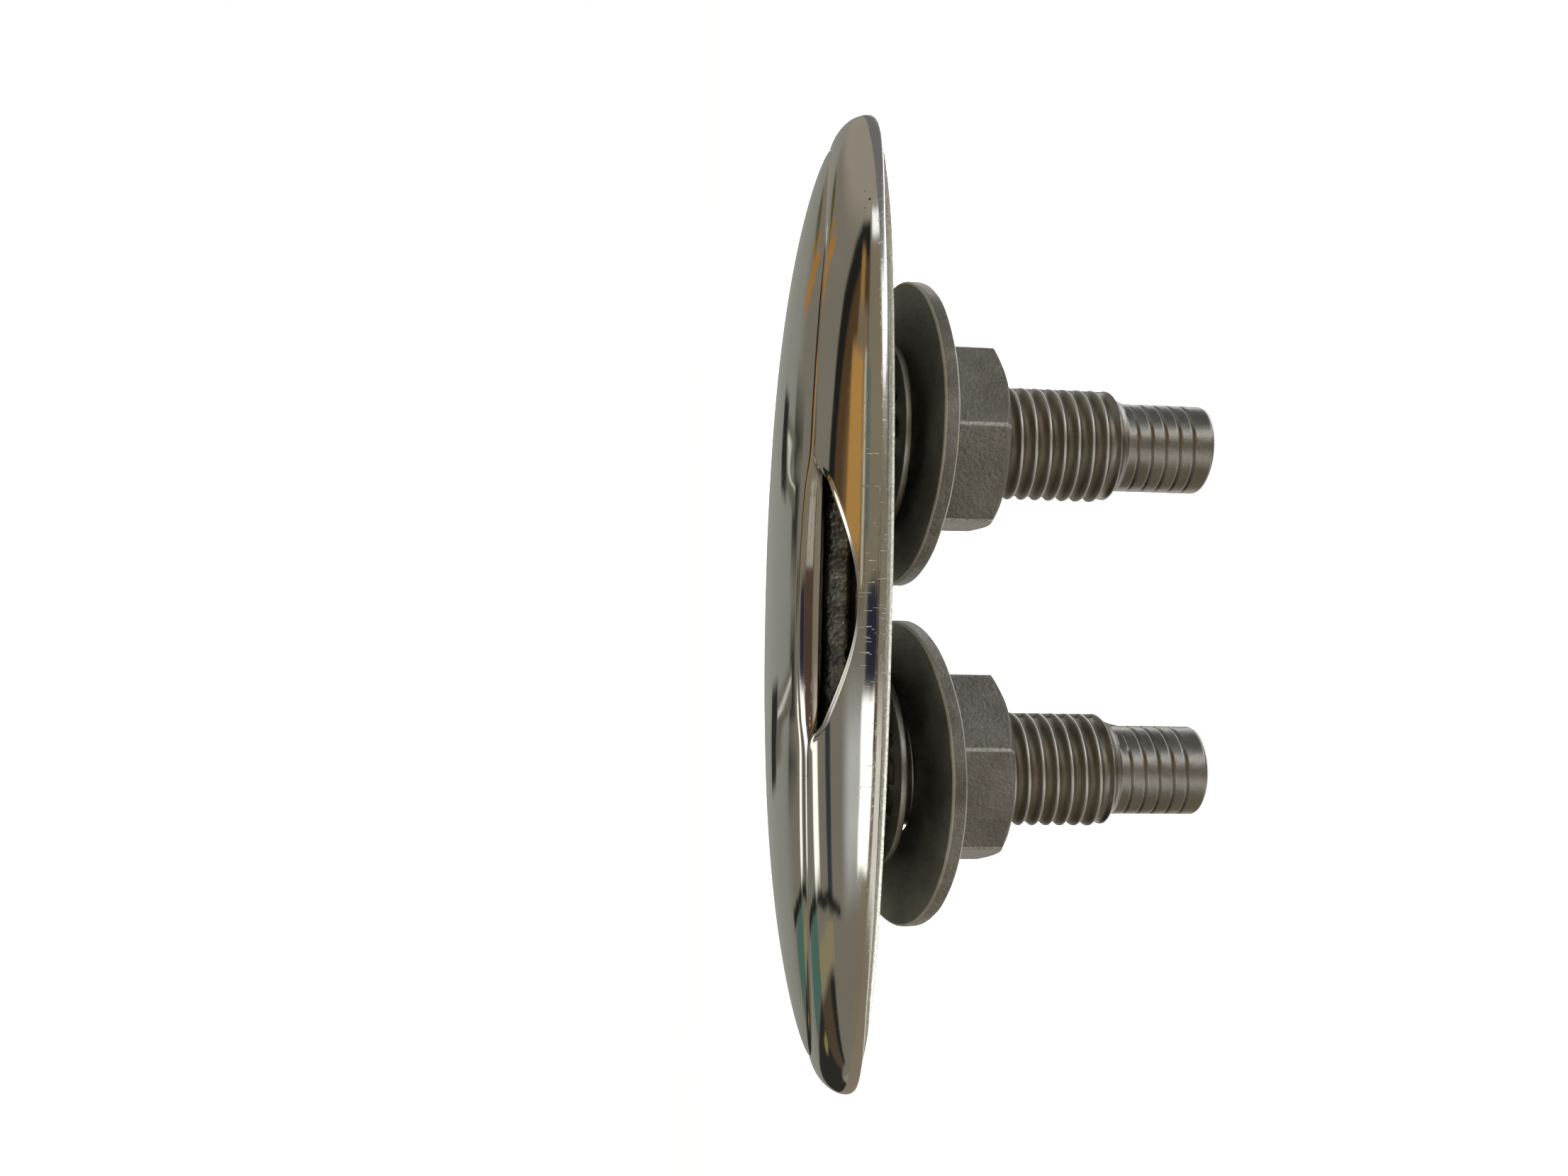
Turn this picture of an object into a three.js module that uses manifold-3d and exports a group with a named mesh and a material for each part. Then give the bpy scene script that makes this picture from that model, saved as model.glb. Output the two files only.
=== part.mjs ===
// Flush-mount pull-up mooring cleat with two hollow threaded studs.
// Units mm. +X along the cleat, +Z out of the deck, origin on the gasket underside (deck plane).
import * as THREE from 'three';
import { mergeVertices } from 'three/addons/utils/BufferGeometryUtils.js';
import Module from 'manifold-3d';

const wasm = await Module();
wasm.setup();

// ---- driving dimensions ----
const BASE_HALF_LENGTH = 85.25;
const BASE_HALF_WIDTH = 25.85;
const RIM_Z = 1.21;            // underside of the bezel rim
const SEAM_END_Z = 8.36;        // height of the cleat/bezel seam at the tips
const SEAM_RISE = 4.455;       // extra seam height at mid length
const CORE_TOP_Z = 14.1;       // top of the uncut bezel blank, above the highest seam
const CUT_TOP_Z = 20.0;        // top of the tools that cut the bezel from above
const OPENING_HALF_LENGTH = 78.98;
const OPENING_HALF_WIDTH = 20.68;
const HORN_HALF_LENGTH = 78.65;
const HORN_HALF_WIDTH = 20.35;
const HORN_CREST_Z = 17.303;
const HORN_UNDER_Z = 10.78;
const HORN_UNDER_DROP = 4.51;
const RIM_ROUND = 1.1;         // inset of the rounded lower edge at the tips
const SIDE_BULGE = 0.78;       // how much of the quarter round the bezel slope uses
const SIDE_POWER = 1.8;
const GASKET_THICKNESS = 3.08;
const GASKET_HALF_LENGTH = 82.83;
const GASKET_HALF_WIDTH = 24.53;
const POCKET_HALF_LENGTH = 83.38;
const POCKET_HALF_WIDTH = 24.75;
const FLOOR_TOP_Z = 4.84;
const BLOCK_HALF_LENGTH = 39.6;
const BLOCK_HALF_WIDTH = 12.1;
const BLOCK_TOP_Z = 9.24;
const SCALLOP_HALF_LENGTH = 23.65;
const SCALLOP_DEPTH = 4.565;   // how far the dipped lip stands out from the opening
const SCALLOP_BLEND = 6.05;     // length over which the dip starts from each end
const SCALLOP_SPAN = 23.1;     // half length where the dip would fade out
const FIX_HOLE_X = 55.55;
const FIX_HOLE_D = 6.6;
const SINK_Z = 4.0;            // start of the countersink of the screw holes
const SINK = 1.5;
const GASKET_FIX_HOLE_D = 9.46;
const STUD_X = 28.765;
const THREAD_D = 19.8;
const THREAD_PITCH = 2.5;
const THREAD_DEPTH = 1.485;
const THREAD_TURNS = 22;      // turns drawn before the envelope trims both ends
const THREAD_END_Z = -43.67;
const THREAD_LEAD = 2.64;      // length over which the thread fades in at its lower end
const THREAD_TOP_Z = -1.3;     // plain collar above this height
const SPIGOT_D = 15.62;
const STUD_END_Z = -59.4;
const SPIGOT_CHAMFER = 0.5;
const STUD_NECK_D = 16.5;
const BORE_D = 14.08;
const BORE_STEP_Z = -47.85;
const SPIGOT_BORE_D = 12.98;
const LEG_D = 11.0;
const LEG_TOP_Z = 12.1;
const LEG_END_Z = -45.1;
const BUSH_BOTTOM_Z = -1.65;
const RING_TOP_Z = -37.84;
const RING_THICKNESS = 1.54;
const ORING_Z = -41.8;
const STOP_WASHER_THICKNESS = 0.88;
const ORING_SECTION = 1.76;
const NUT_ACROSS_FLATS = 30.0;
const NUT_THICKNESS = 12.87;
const NUT_BORE_D = 19.93;
const WASHER_OD = 52.8;
const WASHER_ID = 22.0;
const WASHER_THICKNESS = 2.53;
const STAR_OD = 33.0;
const STAR_BAND = 3.96;
const STAR_TIP_D = 20.79;
const STAR_TEETH = 12;
const STAR_THICKNESS = 1.21;
// The loose fixings hang a little differently on each stud: heights in mm, tilts and nut turn in degrees.
const FIXINGS = [
  { label: 'upper', side: 1, nutTop: -8.25, nutTurn: 2.8,
    washerX: 0.66, washerZ: -4.95, washerTilt: 7.7, starZ: -2.145, starTilt: 4.9 },
  { label: 'lower', side: -1, nutTop: -10.18, nutTurn: 18,
    washerX: -0.55, washerZ: -5.97, washerTilt: 11.1, starZ: -2.42, starTilt: 5.9 },
];

const STEEL = { color: 0xb4b0a8, roughness: 0.12, metalness: 1.0 };
const SATIN = { color: 0x8c887e, roughness: 0.42, metalness: 1.0 };
const RUBBER = { color: 0x1c1c1c, roughness: 0.7, metalness: 0.0 };
const FOAM = { color: 0xbdbeb0, roughness: 0.9, metalness: 0.0 };
const PLASTIC = { color: 0xe4e2d8, roughness: 0.5, metalness: 0.0 };

// ---- solids ----
function solid(geometry) {
  const g = geometry.clone();
  g.deleteAttribute('normal');
  g.deleteAttribute('uv');
  const m = mergeVertices(g, 1e-4);
  return new wasm.Manifold(new wasm.Mesh({
    numProp: 3,
    vertProperties: new Float32Array(m.attributes.position.array),
    triVerts: new Uint32Array(m.index.array),
  }));
}

function geometryOf(manifold) {
  const mesh = manifold.getMesh();
  const g = new THREE.BufferGeometry();
  const p = new Float32Array(mesh.numVert * 3);
  for (let i = 0; i < mesh.numVert; i += 1) {
    for (let k = 0; k < 3; k += 1) p[i * 3 + k] = mesh.vertProperties[i * mesh.numProp + k];
  }
  g.setAttribute('position', new THREE.BufferAttribute(p, 3));
  g.setIndex(new THREE.BufferAttribute(new Uint32Array(mesh.triVerts), 1));
  g.computeVertexNormals();
  return g;
}

// Closed skin through rings of points; the first and last rings close on a centre point.
function loft(rings, count, low, high) {
  const p = [];
  const index = [];
  rings.forEach((ring) => {
    for (let i = 0; i < count; i += 1) p.push(...ring((i / count) * Math.PI * 2));
  });
  for (let r = 0; r + 1 < rings.length; r += 1) {
    for (let i = 0; i < count; i += 1) {
      const a = r * count + i;
      const b = r * count + ((i + 1) % count);
      index.push(a, b, b + count, a, b + count, a + count);
    }
  }
  const lowAt = p.length / 3;
  p.push(...low);
  p.push(...high);
  const top = (rings.length - 1) * count;
  for (let i = 0; i < count; i += 1) {
    const j = (i + 1) % count;
    index.push(lowAt, j, i);
    index.push(lowAt + 1, top + i, top + j);
  }
  const g = new THREE.BufferGeometry();
  g.setAttribute('position', new THREE.BufferAttribute(new Float32Array(p), 3));
  g.setIndex(index);
  return g;
}

function ellipsePrism(halfX, halfY, z0, z1, count = 112) {
  const ring = (z) => (t) => [halfX * Math.cos(t), halfY * Math.sin(t), z];
  return loft([ring(z0), ring(z1)], count, [0, 0, z0], [0, 0, z1]);
}

// Turned body about +Z from pairs [radius, z] listed from the bottom axis point to the top one.
function turned(points, segments = 40, turn = 0) {
  const g = new THREE.LatheGeometry(points.map((q) => new THREE.Vector2(q[0], q[1])), segments);
  g.rotateX(Math.PI / 2);
  g.rotateZ(turn);
  return g;
}

function cylinder(d, z0, z1, segments = 40) {
  return turned([[0, z0], [d / 2, z0], [d / 2, z1], [0, z1]], segments);
}

// Turned ring, closed profile of [radius, z] pairs listed anticlockwise in the r-z half plane.
function turnedRing(points, segments = 40) {
  return turned([...points, points[0]], segments);
}

const seamAt = (x, half) => SEAM_END_Z + SEAM_RISE * Math.max(0, 1 - (x / half) ** 2);

function slopeShape(t) {
  const g = (s) => (1 - (1 - s * SIDE_BULGE) ** SIDE_POWER) ** (1 / SIDE_POWER);
  return g(t) / g(1);
}

// ---- base casting ----
function bezelBody() {
  const count = 112;
  const point = (t, s) => {
    const a = BASE_HALF_LENGTH + (OPENING_HALF_LENGTH - BASE_HALF_LENGTH) * s;
    const b = BASE_HALF_WIDTH + (OPENING_HALF_WIDTH - BASE_HALF_WIDTH) * s;
    const top = SEAM_END_Z + SEAM_RISE * Math.sin(t) ** 2;
    return [a * Math.cos(t), b * Math.sin(t), RIM_Z + 0.9 + (top - RIM_Z - 0.9) * slopeShape(s)];
  };
  const rings = [
    (t) => [(BASE_HALF_LENGTH - RIM_ROUND) * Math.cos(t), (BASE_HALF_WIDTH - 0.3) * Math.sin(t), RIM_Z],
    ...[0, 0.03, 0.1, 0.22, 0.4, 0.65, 1].map((s) => (t) => point(t, s)),
    (t) => [0.5 * OPENING_HALF_LENGTH * Math.cos(t), 0.5 * OPENING_HALF_WIDTH * Math.sin(t), CORE_TOP_Z - 0.2],
  ];
  let body = solid(loft(rings, count, [0, 0, RIM_Z], [0, 0, CORE_TOP_Z]));
  body = body.subtract(solid(ellipsePrism(OPENING_HALF_LENGTH, OPENING_HALF_WIDTH, FLOOR_TOP_Z, CUT_TOP_Z, count)));
  body = body.subtract(solid(ellipsePrism(POCKET_HALF_LENGTH, POCKET_HALF_WIDTH, -1, GASKET_THICKNESS, count)));
  body = body.subtract(solid(scallopCut()));
  body = body.add(solid(innerBlock()));
  [-1, 1].forEach((side) => {
    body = body.subtract(solid(cylinder(STUD_NECK_D + 0.08, 0, CUT_TOP_Z)).translate([side * STUD_X, 0, 0]));
    body = body.subtract(solid(turned([[0, 0], [FIX_HOLE_D / 2, 0], [FIX_HOLE_D / 2, SINK_Z],
      [FIX_HOLE_D / 2 + SINK, SINK_Z + SINK], [0, SINK_Z + SINK]], 32)).translate([side * FIX_HOLE_X, 0, 0]));
  });
  return body;
}

// Plan region opened sideways at mid length so that fingers reach under the horn.
function scallopCut() {
  const steps = 36;
  const shape = new THREE.Shape();
  const lip = (x) => {
    const open = OPENING_HALF_WIDTH * Math.sqrt(1 - (x / OPENING_HALF_LENGTH) ** 2);
    const w = Math.min(1, (SCALLOP_HALF_LENGTH - Math.abs(x)) / SCALLOP_BLEND);
    const blend = w * w * (3 - 2 * w);
    return open - 0.02 + SCALLOP_DEPTH * (1 - (Math.abs(x) / SCALLOP_SPAN) ** 2.2) * blend;
  };
  for (let i = 0; i <= steps; i += 1) {
    const x = -SCALLOP_HALF_LENGTH + (2 * SCALLOP_HALF_LENGTH * i) / steps;
    if (i === 0) shape.moveTo(x, -lip(x)); else shape.lineTo(x, -lip(x));
  }
  for (let i = steps; i >= 0; i -= 1) {
    const x = -SCALLOP_HALF_LENGTH + (2 * SCALLOP_HALF_LENGTH * i) / steps;
    shape.lineTo(x, lip(x));
  }
  const g = new THREE.ExtrudeGeometry(shape, { depth: CUT_TOP_Z - FLOOR_TOP_Z, bevelEnabled: false });
  g.translate(0, 0, FLOOR_TOP_Z);
  return g;
}

// Raised guide block on the recess floor, carrying both stud necks.
function innerBlock() {
  const count = 72;
  const flat = BLOCK_HALF_LENGTH - BLOCK_HALF_WIDTH;
  const ring = (grow, z) => (t) => {
    const r = BLOCK_HALF_WIDTH + grow;
    const shift = Math.abs(Math.cos(t)) > 1e-9 ? Math.sign(Math.cos(t)) * flat : 0;
    return [shift + r * Math.cos(t), r * Math.sin(t), z];
  };
  return loft([ring(1.2, FLOOR_TOP_Z - 0.4), ring(0.9, FLOOR_TOP_Z + 0.4), ring(0.3, BLOCK_TOP_Z - 1),
    ring(-0.6, BLOCK_TOP_Z)], count, [0, 0, FLOOR_TOP_Z - 0.4], [0, 0, BLOCK_TOP_Z]);
}

function gasketBody() {
  const top = GASKET_THICKNESS - 0.03;
  const ring = (k, z) => (t) => [GASKET_HALF_LENGTH * k * Math.cos(t), GASKET_HALF_WIDTH * k * Math.sin(t), z];
  let body = solid(loft([ring(0.12, 0), ring(1, 0), ring(1, top)], 112, [0, 0, 0], [0, 0, top]));
  [-1, 1].forEach((side) => {
    body = body.subtract(solid(cylinder(THREAD_D + 0.3, -1, 5)).translate([side * STUD_X, 0, 0]));
    body = body.subtract(solid(cylinder(GASKET_FIX_HOLE_D, -1, 5, 32)).translate([side * FIX_HOLE_X, 0, 0]));
  });
  return body;
}

// ---- lifting cleat ----
function hornTop(x, y) {
  const u = Math.min(1, Math.abs(x) / HORN_HALF_LENGTH);
  const seam = seamAt(x, HORN_HALF_LENGTH);
  const crest = SEAM_END_Z + (HORN_CREST_Z - SEAM_END_Z) * (1 - u ** 2.6) ** 0.74;
  const w = HORN_HALF_WIDTH * Math.sqrt(Math.max(1e-9, 1 - u * u));
  const v = Math.min(1, Math.abs(y) / w);
  return seam + (crest - seam) * (1 - v ** 2.4) ** 0.62;
}

function hornBody() {
  const count = 96;
  const under = (x) => HORN_UNDER_Z - HORN_UNDER_DROP * (x / HORN_HALF_LENGTH) ** 2;
  const at = (t, s) => [HORN_HALF_LENGTH * s * Math.cos(t), HORN_HALF_WIDTH * s * Math.sin(t)];
  const low = (s) => (t) => { const [x, y] = at(t, s); return [x, y, under(x)]; };
  const top = (s) => (t) => { const [x, y] = at(t, s); return [x, y, hornTop(x, y)]; };
  const rings = [low(0.5), low(0.985),
    (t) => { const [x, y] = at(t, 1); return [x, y, under(x) + 0.3]; },
    ...[1, 0.985, 0.95, 0.87, 0.72, 0.5, 0.25].map(top)];
  let body = solid(loft(rings, count, [0, 0, under(0)], [0, 0, HORN_CREST_Z]));
  [-1, 1].forEach((side) => {
    body = body.subtract(solid(cylinder(LEG_D + 0.06, 0, LEG_TOP_Z + 0.04)).translate([side * STUD_X, 0, 0]));
  });
  return body;
}

function legBody() {
  const r = LEG_D / 2;
  const groove = (z0, z1, rg) => [[r, z0], [rg, z0], [rg, z1], [r, z1]];
  return solid(turned([[0, LEG_END_Z], [r - 0.6, LEG_END_Z], [r, LEG_END_Z + 0.6],
    ...groove(ORING_Z - 0.95, ORING_Z + 0.95, r - 0.3),
    ...groove(RING_TOP_Z - RING_THICKNESS - 0.05, RING_TOP_Z + 0.05, r - 0.45),
    [r, LEG_TOP_Z - 0.4], [r - 0.4, LEG_TOP_Z], [0, LEG_TOP_Z]], 32));
}

function stopRing() {
  const inner = LEG_D / 2 - 0.4;
  const outer = BORE_D / 2 - 0.3;
  const gap = 0.35;
  const shape = new THREE.Shape();
  shape.absarc(0, 0, outer, gap, Math.PI * 2 - gap, false);
  shape.absarc(0, 0, inner, Math.PI * 2 - gap, gap, true);
  const g = new THREE.ExtrudeGeometry(shape, { depth: RING_THICKNESS, bevelEnabled: false, curveSegments: 24 });
  g.translate(0, 0, RING_TOP_Z - RING_THICKNESS);
  return g;
}

function stopWasher() {
  const low = RING_TOP_Z + 0.02;
  const high = low + STOP_WASHER_THICKNESS;
  const ri = LEG_D / 2 + 0.06;
  const ro = BORE_D / 2 - 0.3;
  return solid(turnedRing([[ri, low], [ro, low], [ro, high], [ri, high]], 32));
}

function oRing() {
  const radius = LEG_D / 2 - 0.27 + ORING_SECTION / 2;
  const g = new THREE.TorusGeometry(radius, ORING_SECTION / 2, 8, 24);
  g.translate(0, 0, ORING_Z);
  return g;
}

// ---- hollow studs ----
// Helical skin: four rows per turn of pitch (crest, crest, root, root), closed on the axis at both ends.
function threadedRod(z0, turns) {
  const segments = 16;
  const rows = turns * 4;
  const crest = THREAD_D / 2;
  const root = crest - THREAD_DEPTH;
  const radii = [crest, crest, root, root];
  const offsets = [0, 0.1, 0.5, 0.62];
  const p = [];
  const index = [];
  const zAt = (j) => (Math.floor(j / 4) + offsets[j % 4]) * THREAD_PITCH;
  for (let j = 0; j <= rows; j += 1) {
    for (let i = 0; i < segments; i += 1) {
      const t = (i / segments) * Math.PI * 2;
      const r = radii[j % 4];
      p.push(r * Math.cos(t), r * Math.sin(t), z0 + zAt(j) + (THREAD_PITCH * i) / segments);
    }
  }
  const id = (i, j) => (i === segments ? (j + 4) * segments : j * segments + i);
  for (let j = 0; j < rows; j += 1) {
    for (let i = 0; i < segments; i += 1) {
      if (i === segments - 1 && j + 5 > rows) continue;
      const a = id(i, j);
      const b = id(i + 1, j);
      const c = id(i + 1, j + 1);
      const d = id(i, j + 1);
      index.push(a, b, c, a, c, d);
    }
  }
  const low = p.length / 3;
  p.push(0, 0, z0 + THREAD_PITCH / 2);
  p.push(0, 0, z0 + zAt(rows) - THREAD_PITCH / 2);
  const loopLow = [];
  for (let i = 0; i <= segments; i += 1) loopLow.push(id(i, 0));
  for (let j = 3; j >= 1; j -= 1) loopLow.push(id(0, j));
  loopLow.forEach((a, k) => index.push(low, loopLow[(k + 1) % loopLow.length], a));
  const loopHigh = [];
  for (let i = 0; i < segments; i += 1) loopHigh.push(id(i, rows));
  for (let j = rows - 1; j >= rows - 4; j -= 1) loopHigh.push(id(segments - 1, j));
  loopHigh.forEach((a, k) => index.push(low + 1, a, loopHigh[(k + 1) % loopHigh.length]));
  const g = new THREE.BufferGeometry();
  g.setAttribute('position', new THREE.BufferAttribute(new Float32Array(p), 3));
  g.setIndex(index);
  return g;
}

function studBody() {
  const r = THREAD_D / 2;
  const collar = GASKET_THICKNESS - 0.03;
  const envelope = turned([[0, THREAD_END_Z], [r - THREAD_DEPTH - 0.2, THREAD_END_Z],
    [r + 0.2, THREAD_END_Z + THREAD_LEAD], [r + 0.2, collar], [0, collar]]);
  let body = solid(threadedRod(THREAD_END_Z - 2 * THREAD_PITCH, THREAD_TURNS)).intersect(solid(envelope));
  body = body.add(solid(cylinder(THREAD_D, THREAD_TOP_Z, collar)));
  body = body.add(solid(cylinder(STUD_NECK_D, collar - 1, BLOCK_TOP_Z - 0.1)));
  body = body.add(solid(turned([[0, STUD_END_Z], [SPIGOT_D / 2 - SPIGOT_CHAMFER, STUD_END_Z],
    [SPIGOT_D / 2, STUD_END_Z + SPIGOT_CHAMFER], [SPIGOT_D / 2, THREAD_END_Z + 1], [0, THREAD_END_Z + 1]])));
  const bore = turned([[0, STUD_END_Z - 1], [SPIGOT_BORE_D / 2, STUD_END_Z - 1],
    [SPIGOT_BORE_D / 2, BORE_STEP_Z], [BORE_D / 2, BORE_STEP_Z + 0.5], [BORE_D / 2, CUT_TOP_Z], [0, CUT_TOP_Z]], 40);
  return body.subtract(solid(bore));
}

function bushBody() {
  const inner = LEG_D / 2 + 0.05;
  const outer = BORE_D / 2 - 0.03;
  const top = BLOCK_TOP_Z - 0.1;
  return solid(turnedRing([[inner, BUSH_BOTTOM_Z], [outer - 0.3, BUSH_BOTTOM_Z], [outer, BUSH_BOTTOM_Z + 0.3],
    [outer, top], [inner, top]], 40));
}

// ---- fixings under the deck ----
function nutBody(turn) {
  const corner = NUT_ACROSS_FLATS / Math.sqrt(3);
  const half = NUT_THICKNESS / 2;
  const shape = new THREE.Shape();
  for (let i = 0; i < 6; i += 1) {
    const t = (i / 6) * Math.PI * 2 - Math.PI / 2 + THREE.MathUtils.degToRad(turn);
    const q = [corner * Math.cos(t), corner * Math.sin(t)];
    if (i === 0) shape.moveTo(...q); else shape.lineTo(...q);
  }
  const prism = new THREE.ExtrudeGeometry(shape, { depth: NUT_THICKNESS, bevelEnabled: false });
  prism.translate(0, 0, -half);
  const flat = NUT_ACROSS_FLATS / 2 - 0.4;
  const drop = (corner - flat) * Math.tan(Math.PI / 6);
  const cone = turned([[0, -half], [flat, -half], [corner + 0.05, -half + drop], [corner + 0.05, half - drop],
    [flat, half], [0, half]], 60);
  const bore = turned([[0, -half - 1], [NUT_BORE_D / 2 + 0.8, -half - 0.01], [NUT_BORE_D / 2, -half + 0.9],
    [NUT_BORE_D / 2, half - 0.9], [NUT_BORE_D / 2 + 0.8, half + 0.01], [0, half + 1]]);
  return solid(prism).intersect(solid(cone)).subtract(solid(bore));
}

function washerBody() {
  const h = WASHER_THICKNESS / 2;
  const c = 0.35;
  const ro = WASHER_OD / 2;
  const ri = WASHER_ID / 2;
  return solid(turnedRing([[ri + 0.2, -h], [ro - c, -h], [ro, -h + c], [ro, h - c], [ro - c, h], [ri + 0.2, h],
    [ri, h - 0.2], [ri, -h + 0.2]], 48));
}

function starWasherBody() {
  const ro = STAR_OD / 2;
  const ri = ro - STAR_BAND;
  const tip = STAR_TIP_D / 2;
  const shape = new THREE.Shape();
  shape.absarc(0, 0, ro, 0, Math.PI * 2, false);
  const hole = new THREE.Path();
  for (let i = 0; i < STAR_TEETH; i += 1) {
    const step = (Math.PI * 2) / STAR_TEETH;
    const marks = [[ri, 0], [ri, 0.34], [tip, 0.42], [tip, 0.92]];
    marks.forEach(([r, f], k) => {
      const t = -(i + f) * step;
      if (i === 0 && k === 0) hole.moveTo(r * Math.cos(t), r * Math.sin(t));
      else hole.lineTo(r * Math.cos(t), r * Math.sin(t));
    });
  }
  hole.closePath();
  shape.holes.push(hole);
  const g = new THREE.ExtrudeGeometry(shape, { depth: STAR_THICKNESS, bevelEnabled: false, curveSegments: 20 });
  g.translate(0, 0, -STAR_THICKNESS / 2);
  return solid(g);
}

// ---- assembly ----
const assembly = new THREE.Group();
assembly.name = 'pull_up_cleat';

function place(name, shape, look, x = 0, z = 0, tilt = 0) {
  let g = shape instanceof THREE.BufferGeometry ? shape : geometryOf(shape);
  g = g.clone();
  if (tilt) g.rotateX(THREE.MathUtils.degToRad(tilt));
  g.translate(x, 0, z);
  const mesh = new THREE.Mesh(g, new THREE.MeshStandardMaterial(look));
  mesh.name = name;
  assembly.add(mesh);
}

place('base_bezel', bezelBody(), STEEL);
place('deck_gasket', gasketBody(), FOAM);
place('cleat_horn', hornBody(), STEEL);

FIXINGS.forEach((fixing) => {
  const { label } = fixing;
  const x = fixing.side * STUD_X;
  place(`${label}_stud`, studBody(), SATIN, x);
  place(`${label}_guide_bush`, bushBody(), PLASTIC, x);
  place(`${label}_leg`, legBody(), STEEL, x);
  place(`${label}_leg_o_ring`, oRing(), RUBBER, x);
  place(`${label}_stop_ring`, stopRing(), SATIN, x);
  place(`${label}_stop_washer`, stopWasher(), SATIN, x);
  place(`${label}_star_washer`, starWasherBody(), SATIN, x, fixing.starZ, fixing.starTilt);
  const washerX = x + fixing.washerX;
  place(`${label}_flat_washer`, washerBody(), SATIN, washerX, fixing.washerZ, fixing.washerTilt);
  place(`${label}_nut`, nutBody(fixing.nutTurn), SATIN, x, fixing.nutTop - NUT_THICKNESS / 2);
});

export default assembly;
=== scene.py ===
import bmesh
import bpy
import math
import numpy as np
from mathutils import Matrix, Vector


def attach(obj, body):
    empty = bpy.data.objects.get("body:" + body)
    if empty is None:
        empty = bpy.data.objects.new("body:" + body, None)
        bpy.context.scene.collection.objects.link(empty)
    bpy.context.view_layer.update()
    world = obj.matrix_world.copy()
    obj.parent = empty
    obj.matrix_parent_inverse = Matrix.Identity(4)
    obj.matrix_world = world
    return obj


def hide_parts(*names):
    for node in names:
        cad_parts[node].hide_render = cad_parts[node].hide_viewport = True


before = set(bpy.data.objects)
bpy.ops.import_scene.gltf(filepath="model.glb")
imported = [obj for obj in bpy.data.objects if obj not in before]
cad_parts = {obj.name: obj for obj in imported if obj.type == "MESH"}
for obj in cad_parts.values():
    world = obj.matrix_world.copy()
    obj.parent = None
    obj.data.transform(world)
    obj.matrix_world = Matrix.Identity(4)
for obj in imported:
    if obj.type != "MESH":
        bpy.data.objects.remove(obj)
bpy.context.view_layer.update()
TAU = 2 * math.pi
UNIT = 0.0011  # metres

# Sizes in units of 1.1 mm (a tenth of the lifting legs), in the CAD frame: +X along the cleat, +Z out of the
# deck. A and B are half lengths of ovals along X and Y, R is a radius and Z a height over the deck.

# Base, gasket and cleat
BASE_A, BASE_B = 77.5, 23.5
OPEN_A, OPEN_B = 71.82, 18.82
HORN_A, HORN_B = 71.58, 18.58
LIP_A = 73.0
RIM_Z, WALL_Z = 1.1, 2.0
TIP_DROP, TIP_TUCK = 0.55, 0.45  # at the two ends the rim runs lower, and the foam is shallower
SEAM_END, SEAM_RISE = 7.6, 4.05
POCKET_A, POCKET_B, POCKET_Z = 75.8, 22.5, 2.8
GASKET_A, GASKET_B, GASKET_TOP = 75.3, 22.3, POCKET_Z - 0.03
FLOOR_Z, BLOCK_Z = 4.4, 8.4
BLOCK_A, BLOCK_B, BLOCK_POWER = 36.0, 11.0, 3.2
SCALLOP_HALF, SCALLOP_DEPTH, SCALLOP_BLEND = 24.0, 4.25, 7.5
LIP_ROUND, LIP_WIDEN, LIP_BEAD = 0.16, 5.15, 0.42  # the seam edge, and how it swells along a scallop
LEDGE_Y, LEDGE_RISE, LEDGE_HALF = 20.0, 0.55, 0.28
PITS = (((59.40, -14.94, 3.41), 0.20), ((57.95, -15.26, 4.17), 0.11), ((60.70, -14.28, 4.02), 0.09))
CREST_Z, UNDER_Z, UNDER_DROP = 15.73, 9.8, 4.1
GRIP_RISE = 1.2  # the edge of the cleat stands this much higher over the finger scallops

# Holes, studs and lifting gear
STUD_X, STUD_HOLE_R, STUD_GASKET_R = 26.15, 7.54, 9.15
SCREW_X, SCREW_R, SCREW_HEAD_R, SCREW_GASKET_R = 50.5, 3.0, 5.3, 4.3
PITCH = 2.5 / 1.1
THREAD_R, ROOT_R, THREAD_END = 9.0, 8.4, -39.7
SPIGOT_R, STUD_END, BORE_R, SPIGOT_BORE_R, BORE_STEP = 7.1, -54.0, 6.4, 5.9, -43.5
GROOVE_DEPTH = 0.19  # shallow tool grooves round the spigot
BUSH_SEAT_R = 7.5
LEG_R, SEAL_GROOVE_R, CLIP_GROOVE_R = 5.0, 4.7, 4.56
BUSH_BORE_R, BUSH_R = 5.06, 6.36

# Fixings: nut is the height of the top face of the nut, washer and star of the middle of each washer;
# turns and tilts are in degrees
NUT_HALF, NUT_FLAT = 5.85, 13.63
STAR_R, STAR_BAND_R, STAR_TIP_R, STAR_HALF, STAR_TEETH = 15.0, 11.4, 9.5, 0.55, 12
WASHER_R, WASHER_BORE_R, WASHER_HALF, WASHER_ROUND = 23.97, 10.0, 1.15, 0.42
FIXINGS = {
    "upper": dict(side=1, nut=-7.5, turn=2.8, washer=-4.5, shift=0.6, tilt=7.7, star=-1.95, star_tilt=4.9),
    "lower": dict(side=-1, nut=-9.255, turn=18.0, washer=-5.427, shift=-0.5, tilt=11.1, star=-2.2,
                  star_tilt=5.9),
}


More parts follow.
